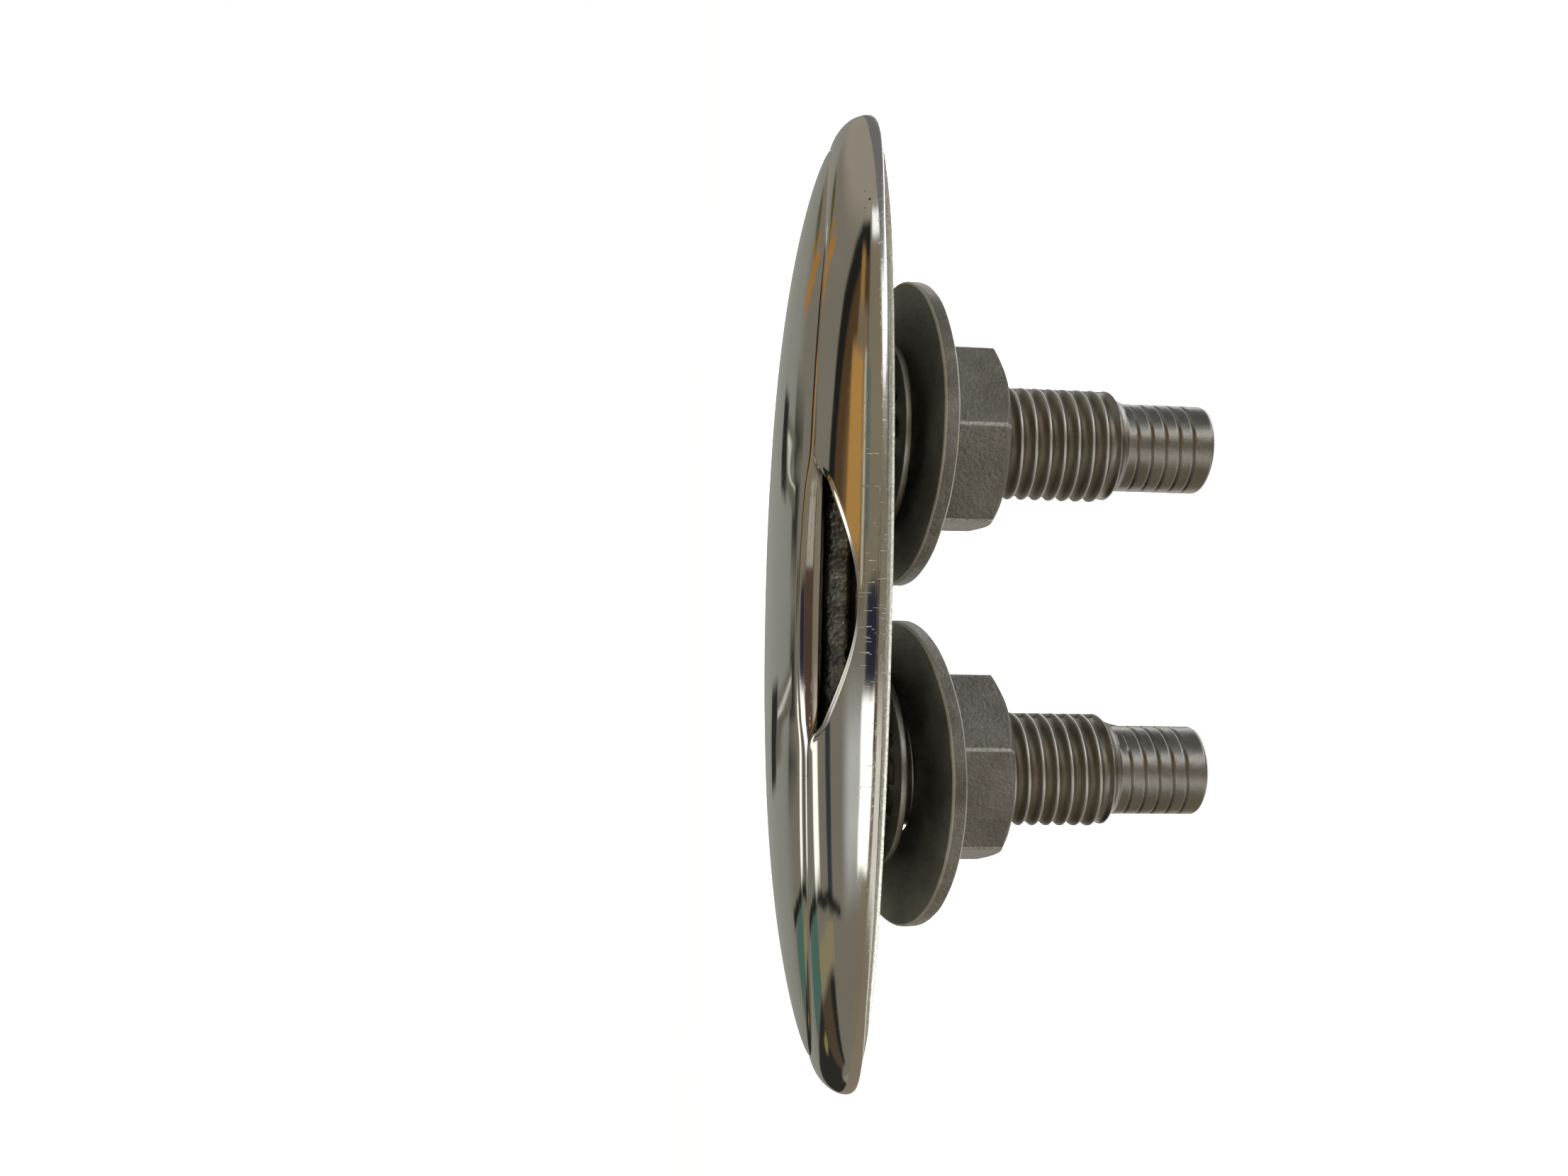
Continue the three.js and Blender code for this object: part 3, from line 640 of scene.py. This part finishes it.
# ---------------------------------------------------------------- lifting cleat
def horn_top(x, y):
    """Height of the dome of the cleat: an upright edge at the seam, a flat crest in the middle."""
    u = np.minimum(1.0, np.abs(x) / HORN_A)
    root = np.sqrt(np.maximum(0.0, 1 - u * u))
    seam = SEAM_END + SEAM_RISE * (1 - u * u) + GRIP_RISE * scallop(x) / SCALLOP_DEPTH
    crest = SEAM_END + (CREST_Z - SEAM_END) * np.maximum(0.0, 1 - u ** 2.6) ** 0.74
    v = np.minimum(1.0, np.abs(y) / np.maximum(1e-6, HORN_B * root))
    return seam + (crest - seam) * (1 - v ** 2.4) ** 0.62


def make_horn():
    """Cleat from the middle of its underside out to the edge, up the side wall and over the dome."""
    cols = 960
    t = (np.arange(cols) + 0.5) / cols * TAU
    c, s = np.cos(t), np.sin(t)
    rows = []

    def under(k, lift=0.0):
        x, y = HORN_A * k * c, HORN_B * k * s
        rows.append(np.stack([x, y, UNDER_Z - UNDER_DROP * (x / HORN_A) ** 2 + lift], -1))

    for k in (0.1, 0.3, 0.5, 0.7, 0.85, 0.93, 0.97):
        under(k)
    for k in np.linspace(0.1, 1, 6):
        a = k * math.pi / 2
        under(1 - 0.022 * (1 - math.sin(a)), 0.32 * (1 - math.cos(a)))
    x, y = HORN_A * c, HORN_B * s
    low = rows[-1][:, 2]
    high = horn_top(x, y * 0.9999)
    for k in (0.35, 0.7, 1.0):
        rows.append(np.stack([x, y, low + (high - low) * k], -1))
    for k in np.sin(np.linspace(math.pi / 2, 0.02, 64))[1:]:
        x, y = HORN_A * k * c, HORN_B * k * s
        rows.append(np.stack([x, y, horn_top(x, y)], -1))
    obj = skin("cleat_horn_shell", rows, [MIRROR], sharp=60)
    return place(obj, "cleat", "polished_steel", "cleat_horn")


# ---------------------------------------------------------------- studs and lifting gear
def thread_radius(phase):
    """Outside radius of the thread against turn phase 0..1: narrow crest, wide rounded valley."""
    d = np.abs((phase + 0.5) % 1 - 0.5) * 2
    v = np.clip((d - 0.12) / 0.80, 0, 1)
    return THREAD_R - (THREAD_R - ROOT_R) * np.sin(v * math.pi / 2)


def make_stud(label, side, seed):
    """Hollow stud: every ring follows the helix, so the thread, its run-out and the spigot are one skin."""
    cols, per_turn = 128, 14
    top = GASKET_TOP
    turns = int((top - STUD_END) / PITCH) + 3
    t = np.arange(cols) / cols * TAU
    rows = []
    z_low = STUD_END + 0.55
    run_out = THREAD_END - 0.25
    for j in range(-per_turn, turns * per_turn):
        phase = j / per_turn
        z = np.clip(z_low + (phase + t / TAU) * PITCH, z_low, top)
        helix = thread_radius(np.full(cols, phase % 1.0))
        groove = SPIGOT_R - GROOVE_DEPTH * np.clip(1 - np.abs((phase % 1.0) - 0.5) * 7, 0, 1) ** 0.8
        above = np.clip((z - run_out) / 2.3, 0, 1)
        thread = SPIGOT_R + (helix - SPIGOT_R) * np.clip(above * 1.25, 0, 1) ** 0.8
        grooved = (z > STUD_END + 2.6) & (z < THREAD_END - 1.6)
        r = np.where(z > run_out, thread, np.where(grooved, groove, SPIGOT_R))
        # plain collar where the stud enters the deck gasket
        r = r + (THREAD_R - r) * np.clip((z + 1.4) / 0.9, 0, 1)
        rows.append(circle(t, np.minimum(r, THREAD_R), z))
    rows = np.array(rows)
    rows[..., :2] *= (1 + ripple(rows + seed * 31.0, 2.4, seed) * 0.0016)[..., None]
    profile = [[SPIGOT_BORE_R, STUD_END + 0.5], [SPIGOT_BORE_R + 0.12, STUD_END + 0.12],
               [SPIGOT_BORE_R + 0.35, STUD_END], [SPIGOT_R - 0.45, STUD_END],
               [SPIGOT_R - 0.18, STUD_END + 0.12], [SPIGOT_R - 0.02, STUD_END + 0.4]]
    start = np.array([circle(t, r, z) for r, z in profile])
    inner = [[BUSH_SEAT_R, top], [BUSH_SEAT_R, BLOCK_Z - 0.12], [BUSH_SEAT_R - 0.1, BLOCK_Z],
             [BORE_R + 0.1, BLOCK_Z], [BORE_R, BLOCK_Z - 0.15], [BORE_R, -20.0],
             [BORE_R, BORE_STEP + 0.4], [SPIGOT_BORE_R, BORE_STEP]]
    finish = np.array([circle(t, r, z) for r, z in inner])
    rings = np.concatenate([start, rows, finish]) + np.array([side * STUD_X, 0, 0])
    obj = skin(f"{label}_hollow_stud", rings, [STUD_STEEL], caps=False, sharp=48)
    weld_points(obj, 48)
    return place(obj, "base", "pickled_steel", f"{label}_stud")


def make_leg(label, side):
    """Leg with its seal and stop, which rise with the cleat, and the bush that guides it."""
    x = side * STUD_X
    leg = [[2.0, -41.0], *arc(4.3, -40.3, 0.7, -90, 0),
           [LEG_R, -38.95], [SEAL_GROOVE_R, -38.9], [SEAL_GROOVE_R, -37.1], [LEG_R, -37.05],
           [LEG_R, -35.86], [CLIP_GROOVE_R, -35.84], [CLIP_GROOVE_R, -34.36], [LEG_R, -34.34],
           [LEG_R, -20], [LEG_R, 0], [LEG_R, 8.6], [5.05, 9.0], [5.2, 9.35], [5.2, 10.9]]
    obj = lathe(f"{label}_lift_leg", leg, [MIRROR_ROD], 96, (x, 0, 0))
    place(obj, "cleat", "polished_steel", f"{label}_leg")

    seal = arc(5.53, -38.0, 0.8, 0, 337.5, 16)
    obj = lathe(f"{label}_leg_seal", seal, [RUBBER], 96, (x, 0, 0), caps=False, sharp=0)
    place(obj, "cleat", "seal_rubber", f"{label}_leg_o_ring")

    plate = [[5.07, -34.36], [6.0, -34.36], [6.1, -34.26], [6.1, -33.66], [6.0, -33.56], [5.07, -33.56]]
    obj = lathe(f"{label}_stop_plate", plate, [STAR_STEEL], 96, (x, 0, 0), caps=False)
    place(obj, "cleat", "pickled_steel", f"{label}_stop_washer")

    # the clip is an open ring: sections swept round from one end of its gap to the other
    a = np.linspace(0.36, TAU - 0.36, 97)
    section = [[4.6, -34.44], [6.0, -34.44], [6.08, -34.52], [6.08, -35.7], [6.0, -35.78], [4.6, -35.78]]
    rings = np.array([circle(a, r, z) for r, z in section]) + np.array([x, 0, 0])
    obj = skin(f"{label}_stop_clip", rings.transpose(1, 0, 2), [STAR_STEEL], sharp=40)
    place(obj, "cleat", "pickled_steel", f"{label}_stop_ring")

    bush = [[BUSH_BORE_R, -1.2], [5.35, -1.5], [6.1, -1.5], [BUSH_R, -1.2], [BUSH_R, 8.0], [6.2, 8.28],
            [5.45, 8.28], [5.15, 8.1], [BUSH_BORE_R, 7.8]]
    obj = lathe(f"{label}_bush", bush, [PLASTIC], 96, (x, 0, 0), caps=False)
    place(obj, "base", "guide_plastic", f"{label}_guide_bush")


# ---------------------------------------------------------------- fixings
def make_nut(label, fix, seed):
    """Hexagon nut with coned corners, softened edges and a plain bore."""
    cols, half = 360, NUT_HALF
    t = np.arange(cols) / cols * TAU
    turn = math.radians(fix["turn"]) - math.pi / 2
    flat, corner = NUT_FLAT, 2 * NUT_FLAT / math.sqrt(3)
    local = (t - turn) % (TAU / 6) - TAU / 12
    hexagon = np.minimum(flat / np.cos(local), corner - 0.16)
    hexagon = hexagon - 0.10 * np.clip((hexagon - corner + 0.6) / 0.6, 0, 1) ** 2
    rows = []
    cone_start, cone_rise = flat - 0.35, math.tan(math.radians(30))
    bite = (corner - cone_start) * cone_rise * 1.05
    levels = np.concatenate([np.linspace(0, bite, 20), np.linspace(bite, 2 * half - bite, 14)[1:],
                             np.linspace(2 * half - bite, 2 * half, 20)[1:]])
    for level in levels:
        cone = cone_start + min(level, 2 * half - level) / cone_rise
        soft = np.minimum(hexagon, cone)
        near = np.clip(1 - np.abs(hexagon - cone) / 0.35, 0, 1)
        rows.append(circle(t, soft - 0.05 * near ** 2, level - half))
    bore = [[cone_start - 0.4, half + 0.02], [10.4, half + 0.02], [9.95, half - 0.05], [9.12, half - 0.9],
            [9.08, half - 1.4], [9.08, 0], [9.08, 1.4 - half], [9.12, 0.9 - half], [9.95, 0.05 - half],
            [10.4, -half - 0.02], [cone_start - 0.4, -half - 0.02]]
    rows = np.array(rows + [circle(t, r, z) for r, z in bore])
    # the forged outside is a little uneven
    outside = rows[:len(levels)]
    dent = ripple(outside + seed * 17, 1.25, seed) * 0.010 + ripple(outside, 6.5, seed + 1) * 0.014
    radial = outside[..., :2] / np.linalg.norm(outside[..., :2], axis=-1, keepdims=True)
    outside[..., :2] += radial * dent[..., None]
    rows += np.array([fix["side"] * STUD_X, 0, fix["nut"] - half])
    obj = skin(f"{label}_hex_nut", rows, [NUT_STEEL[label]], caps=False, sharp=38)
    return place(obj, f"{label}_nut_body", "pickled_steel", f"{label}_nut")


def make_washer(label, fix, seed):
    """Large flat washer, a little wavy, with its punched rim in a steel of its own and its rounded corners in
    a lighter steel, a painted highlight.
    """
    ro, ri, h, c = WASHER_R, WASHER_BORE_R, WASHER_HALF, WASHER_ROUND
    profile = [[ri + 0.25, -h]]
    profile += [[r, -h] for r in (12, 15, 18, 21)]
    profile += arc(ro - c, -h + c, c, -90, 0, 6)
    profile += arc(ro - c, h - c, c, 0, 90, 6)
    profile += [[r, h] for r in (21, 18, 15, 12)]
    profile += [[ri + 0.25, h], [ri + 0.05, h - 0.15], [ri, h - 0.35]]
    profile += [[ri, -h + 0.35], [ri + 0.05, -h + 0.15]]

    def wobble(rings):
        rings[..., 2] += ripple(rings, 9.0, seed) * 0.05
        grow = 1 + ripple(rings, 6.0, seed + 2) * 0.0012
        rings[..., :2] *= grow[..., None]
        return rings

    # the rounded corners take the lighter steel, a painted highlight; the rim side takes the grainier steel
    outside = [r > ro - c - 0.01 for r, _ in profile]
    corner = [out and abs(z) > h - c + 0.05 for out, (_, z) in zip(outside, profile)]
    slots = []
    for k in range(len(profile)):
        after = (k + 1) % len(profile)
        slots.append(1 if corner[k] and corner[after] else 2 if outside[k] and outside[after] else 0)
    at = (fix["side"] * STUD_X + fix["shift"], 0, fix["washer"])
    obj = lathe(f"{label}_plain_washer", profile, [WASHER_STEEL, EDGE_STEEL, RIM_STEEL], 288, at, fix["tilt"],
                caps=False, sharp=40, wobble=wobble, slots=slots)
    return place(obj, f"{label}_washers", "pickled_steel", f"{label}_flat_washer")


def make_star_washer(label, fix):
    """Internal-tooth lock washer: flat band with twisted teeth pointing at the stud."""
    per_tooth = 24
    cols = STAR_TEETH * per_tooth
    t = np.arange(cols) / cols * TAU
    place_in = (np.arange(cols) % per_tooth) / per_tooth
    h, flat_from = STAR_HALF, STAR_BAND_R + 0.8
    tooth = np.clip((0.5 - np.abs(place_in - 0.5) - 0.17) / 0.06, 0, 1)
    inner = STAR_BAND_R - (STAR_BAND_R - STAR_TIP_R) * tooth
    twist = (place_in - 0.5) * 2.0 * tooth * 0.75
    rows = []
    for level, shares in ((-h, (1.0, 0.6, 0.3, 0.0)), (h, (0.0, 0.3, 0.6, 1.0))):
        for k in shares:
            face = level * (1 - 0.15 * (k == 0))
            rows.append(circle(t, inner + (flat_from - inner) * k, face + twist * (1 - k)))
    edge = STAR_R - 0.2
    for r, z in (*arc(edge, h - 0.2, 0.2, 90, 0, 4), *arc(edge, -h + 0.2, 0.2, 0, -90, 4)):
        rows.append(circle(t, r, z))
    rings = lean(np.array(rows), fix["star_tilt"]) + np.array([fix["side"] * STUD_X, 0, fix["star"]])
    obj = skin(f"{label}_tooth_washer", rings[::-1], [STAR_STEEL], caps=False, sharp=40)
    return place(obj, f"{label}_washers", "pickled_steel", f"{label}_star_washer")


make_base()
make_gasket()
make_horn()
for index, (label, fix) in enumerate(FIXINGS.items()):
    make_stud(label, fix["side"], 11 + index)
    make_leg(label, fix["side"])
    make_nut(label, fix, 21 + 5 * index)
    make_washer(label, fix, 41 + 5 * index)
    make_star_washer(label, fix)


# ---------------------------------------------------------------- floor, light, camera
# Colours of the room as the metal sees it.
WALL = (0.25, 0.23, 0.188)
PALE = (0.32, 0.32, 0.285)
KHAKI = (0.27, 0.235, 0.165)
WARM = (0.39, 0.35, 0.295)
GOLD = (0.54, 0.30, 0.09)
BROWN = (0.106, 0.065, 0.032)
BLACK = (0.02, 0.019, 0.017)
TEAL = (0.094, 0.195, 0.157)


FLOOR_HALF, FLOOR_GAP = 4.0, 0.4  # metres, and units below the spigots


def make_floor():
    """Plain pale floor just below the spigots."""
    mesh = bpy.data.meshes.new("floor")
    r = FLOOR_HALF
    mesh.from_pydata([(-r, -r, 0), (r, -r, 0), (r, r, 0), (-r, r, 0)], [], [(0, 1, 2, 3)])
    obj = bpy.data.objects.new("floor", mesh)
    obj.location.z = (STUD_END - FLOOR_GAP) * UNIT
    bpy.context.scene.collection.objects.link(obj)
    g = Graph("pale_floor", (0.9, 0.9, 0.9))
    mottled = g.ramp(g.noise(3.0, 2.0), (0.3, (0.90, 0.90, 0.895)), (0.7, (0.94, 0.94, 0.935)))
    g.finish(mottled, 0.9)
    g.shader.inputs["Emission Color"].default_value = (1, 1, 1, 1)
    g.shader.inputs["Emission Strength"].default_value = 0.80
    mesh.materials.append(g.mat)
    obj.visible_diffuse = False
    obj.visible_glossy = False


def make_world():
    """White to the eye; the metal sees a dim warm room with soft shapes in it."""
    world = bpy.data.worlds.new("studio")
    bpy.context.scene.world = world
    world.use_nodes = True
    world.node_tree.nodes.clear()
    n = Nodes(world.node_tree)
    new = n.tree.nodes.new
    coord = new("ShaderNodeTexCoord").outputs["Generated"]
    sep = new("ShaderNodeSeparateXYZ")
    n.link(coord, sep.inputs[0])
    x, y, z = sep.outputs

    def warp(scale, amount):
        noise = new("ShaderNodeTexNoise")
        noise.inputs["Scale"].default_value = scale
        noise.inputs["Detail"].default_value = 2.0
        n.link(coord, noise.inputs["Vector"])
        return n.math("MULTIPLY", n.math("SUBTRACT", noise.outputs["Fac"], 0.5), amount)

    # lon: turn about +X from -Y (the camera's side) over +Z, in degrees; lat: lean towards +X, in degrees
    true_lon = n.math("MULTIPLY", n.math("ARCTAN2", z, n.math("MULTIPLY", y, -1.0)), 360 / TAU)
    within = n.math("MINIMUM", n.math("MAXIMUM", x, -1.0), 1.0)
    true_lat = n.math("MULTIPLY", n.math("ARCSINE", within), 360 / TAU)
    lon = n.math("ADD", true_lon, warp(3.1, 4.5))
    lat = n.math("ADD", true_lat, warp(2.6, 5.5))

    def patch(left, right, low, high, soft=2.0, still=False):
        """A soft-edged rectangle in lon and lat, wavy unless still."""
        a, b = (true_lon, true_lat) if still else (lon, lat)
        return n.math("MULTIPLY", n.between(a, left, right, soft), n.between(b, low, high, soft))

    def streak(start, stop, slope, rise, half, soft):
        """A slanted line in the view, lat = rise + slope * lon."""
        off = n.math("SUBTRACT", lat, n.math("MULTIPLY_ADD", lon, slope, rise))
        return n.math("MULTIPLY", n.between(lon, start, stop, 3), n.between(off, -half, half, soft))

    out = n.mix(n.smooth(lon, 118, 145), WALL, PALE)
    out = n.mix(n.smooth(lon, 14, 4), out, KHAKI)
    out = n.mix(n.smooth(lat, 44, 58), out, WARM)
    # a large dark rounded shape with brown and gold inside it, above the middle of the view
    parts = []
    for value, middle, half in ((lon, 0.0, 64.0), (lat, 8.0, 44.0)):
        share = n.math("ABSOLUTE", n.math("DIVIDE", n.math("SUBTRACT", value, middle), half))
        parts.append(n.math("POWER", share, 2.5))
    reach = n.math("POWER", n.math("ADD", *parts), 0.4)
    shape = n.ramp(reach, (0.60, (0.20, 0.125, 0.055)), (0.70, BROWN), (0.82, BROWN), (0.87, BLACK),
                   (0.97, BLACK))
    shape = n.mix(patch(19, 36, 6, 30, 2), shape, GOLD)
    shape = n.mix(patch(21, 28, 30, 46, 2), shape, (0.40, 0.24, 0.09))
    shape = n.mix(patch(15, 29, 29, 36, 2), shape, (0.25, 0.20, 0.13))
    side = n.math("MULTIPLY", n.smooth(lon, 12, 14), n.smooth(lat, -3, 3))
    out = n.mix(n.math("MULTIPLY", n.smooth(reach, 1.04, 0.99), side), out, shape)
    out = n.mix(patch(15, 17.5, 2, 30, 0.9), out, (0.62, 0.60, 0.50))
    out = n.mix(patch(9.5, 13.5, 8, 28, 1.0), out, (0.13, 0.19, 0.165))
    # a window and its glow, a navy patch beside it, and a dark post
    out = n.mix(n.math("MULTIPLY", patch(4, 30, -32, -12, 7), 0.85), out, (0.72, 0.74, 0.74))
    out = n.mix(patch(-5, 12, -32, -11, 1.5), out, (1.9, 1.9, 1.84))
    out = n.mix(patch(-5, 9, -10, 2, 1.5), out, (0.03, 0.035, 0.06))
    out = n.mix(patch(52, 60, -38, -8, 1.5), out, (0.05, 0.055, 0.07))
    # skyline: dark ground under a thin line, a khaki wedge and a teal strip
    out = n.mix(patch(52, 92, -44, -36, 1.5), out, (0.34, 0.29, 0.17))
    out = n.mix(patch(92, 126, -42, -27, 1.5), out, TEAL)
    out = n.mix(streak(38, 130, 0.13, -41.0, 1.1, 0.5), out, BLACK)
    out = n.mix(patch(56, 95, -78, -45, 2), out, (0.106, 0.077, 0.051))
    out = n.mix(patch(54, 66, -78, -46, 2), out, (0.03, 0.03, 0.028))
    out = n.mix(patch(94, 182, -78, -43, 2), out, (0.036, 0.034, 0.03))
    out = n.mix(patch(96, 110, -57, -51, 1.5), out, (0.30, 0.27, 0.09))
    # amber streaks and the strip light over the cleat
    out = n.mix(streak(96, 131, -0.43, 77.9, 1.6, 0.8), out, (0.52, 0.23, 0.03))
    out = n.mix(streak(104, 131, -0.43, 82.5, 0.9, 0.5), out, (0.40, 0.22, 0.05))
    out = n.mix(patch(117, 132, 30, 38, 2), out, (0.13, 0.115, 0.055))
    out = n.mix(patch(78, 92, -28, -12, 2.5), out, (1.7, 1.66, 1.56))
    out = n.mix(patch(84, 98, -3, 4, 2), out, (0.05, 0.035, 0.03))
    # two more studs, end-on, with their washers behind
    for middle, near, far in ((9.0, 128, 150), (-7.5, 124, 157)):
        out = n.mix(patch(near - 18, near + 8, middle - 7, middle + 6, 3, True), out, (0.12, 0.118, 0.10))
        out = n.mix(patch(near - 10, near + 6, middle - 4, middle + 3, 1.5, True), out, (0.045, 0.044, 0.038))
        out = n.mix(patch(near, far, middle - 1.9, middle + 1.9, 0.7, True), out, (0.17, 0.155, 0.12))
        out = n.mix(patch(near + 2, far - 1, middle + 0.2, middle + 0.9, 0.35, True), out, (0.80, 0.78, 0.70))
        out = n.mix(patch(far, far + 9, middle - 2.8, middle + 2.8, 0.7, True), out, (0.03, 0.03, 0.027))
    # what the studs, nuts and washers see below the deck plane, as stops of (lat, colour)
    stops = ((-60, (0.30, 0.25, 0.19)), (-42, (0.30, 0.25, 0.19)), (-32, (0.95, 0.92, 0.85)),
             (-16, (0.95, 0.92, 0.85)), (-6, (0.30, 0.26, 0.20)), (14, (0.27, 0.235, 0.18)),
             (23, (0.45, 0.44, 0.42)), (28, (2.0, 2.0, 1.98)), (36, (2.0, 2.0, 1.98)),
             (44, (0.34, 0.345, 0.35)), (54, (0.205, 0.205, 0.20)))
    ends = n.math("MULTIPLY_ADD", lat, 1 / 180, 0.5)
    below = n.ramp(ends, *((0.5 + degrees / 180, colour) for degrees, colour in stops))
    out = n.mix(n.smooth(lon, -9, -15), out, below)
    out = n.mix(patch(-12, 9, 49, 55, 1.5), out, (1.4, 1.42, 1.42))
    # a maroon shape with a bright slit, seen by the wall of the cleat over the scallop
    out = n.mix(patch(-8.8, -5.3, -17, 12, 0.5, True), out, (0.105, 0.062, 0.046))
    out = n.mix(patch(-7.2, -6.5, 3.5, 13, 0.2, True), out, (0.75, 0.72, 0.62))
    seen = new("ShaderNodeBackground")
    n.link(out, seen.inputs["Color"])
    white = new("ShaderNodeBackground")
    white.inputs["Color"].default_value = (1, 1, 1, 1)
    blend = new("ShaderNodeMixShader")
    n.link(new("ShaderNodeLightPath").outputs["Is Camera Ray"], blend.inputs[0])
    n.link(seen.outputs[0], blend.inputs[1])
    n.link(white.outputs[0], blend.inputs[2])
    n.link(blend.outputs[0], new("ShaderNodeOutputWorld").inputs[0])


def area(name, at, target, size, power):
    """Soft light for the foam, plastic and floor; the metal is lit by the room alone."""
    data = bpy.data.lights.new(name, "AREA")
    data.shape = "RECTANGLE"
    data.size, data.size_y = size
    data.energy = power
    obj = bpy.data.objects.new(name, data)
    obj.location = at
    obj.rotation_mode = "QUATERNION"
    obj.rotation_quaternion = (Vector(target) - Vector(at)).to_track_quat("-Z", "Y")
    bpy.context.scene.collection.objects.link(obj)
    obj.visible_camera = False
    obj.visible_glossy = False


def make_lights():
    area("key", (-0.50, -0.55, 0.42), (0, 0, -0.01), (0.30, 0.10), 11.0)
    area("low_fill", (-0.15, -0.60, -0.32), (0, 0, -0.02), (0.45, 0.12), 6.0)
    area("back", (0.1, 0.7, 0.45), (0, 0, 0), (0.5, 0.3), 9.0)


SENSOR_MM = 36.0
FOCAL_TO_WIDTH = 1700 / 2212
CAMERA_TURN = (-0.00766, -0.09925, 0.02346)  # rotation vector, in radians
CAMERA_OFFSET = (13.14, 2.35, 191.92)  # from the camera to the middle of the deck face, in units


def make_camera():
    """Camera at the viewing angle of the photo: it looks along +Y, with the studs pointing right.

    The turn and the offset are along the right, down and ahead directions of the picture.
    """
    turn = Matrix.Rotation(Vector(CAMERA_TURN).length, 3, Vector(CAMERA_TURN))
    untilted = Matrix(((0, 0, -1), (-1, 0, 0), (0, 1, 0)))
    right, down, ahead = pose = turn @ untilted
    centre = -(pose.transposed() @ Vector(CAMERA_OFFSET)) * UNIT
    data = bpy.data.cameras.new("photo_camera")
    data.sensor_width = SENSOR_MM
    data.lens = FOCAL_TO_WIDTH * SENSOR_MM
    data.clip_start, data.clip_end = 0.005, 50.0
    obj = bpy.data.objects.new("photo_camera", data)
    m = Matrix((right, -down, -ahead)).transposed().to_4x4()
    m.translation = centre
    obj.matrix_world = m
    bpy.context.scene.collection.objects.link(obj)
    bpy.context.scene.camera = obj


make_floor()
make_world()
make_lights()
make_camera()
bpy.context.scene.view_settings.view_transform = "Standard"
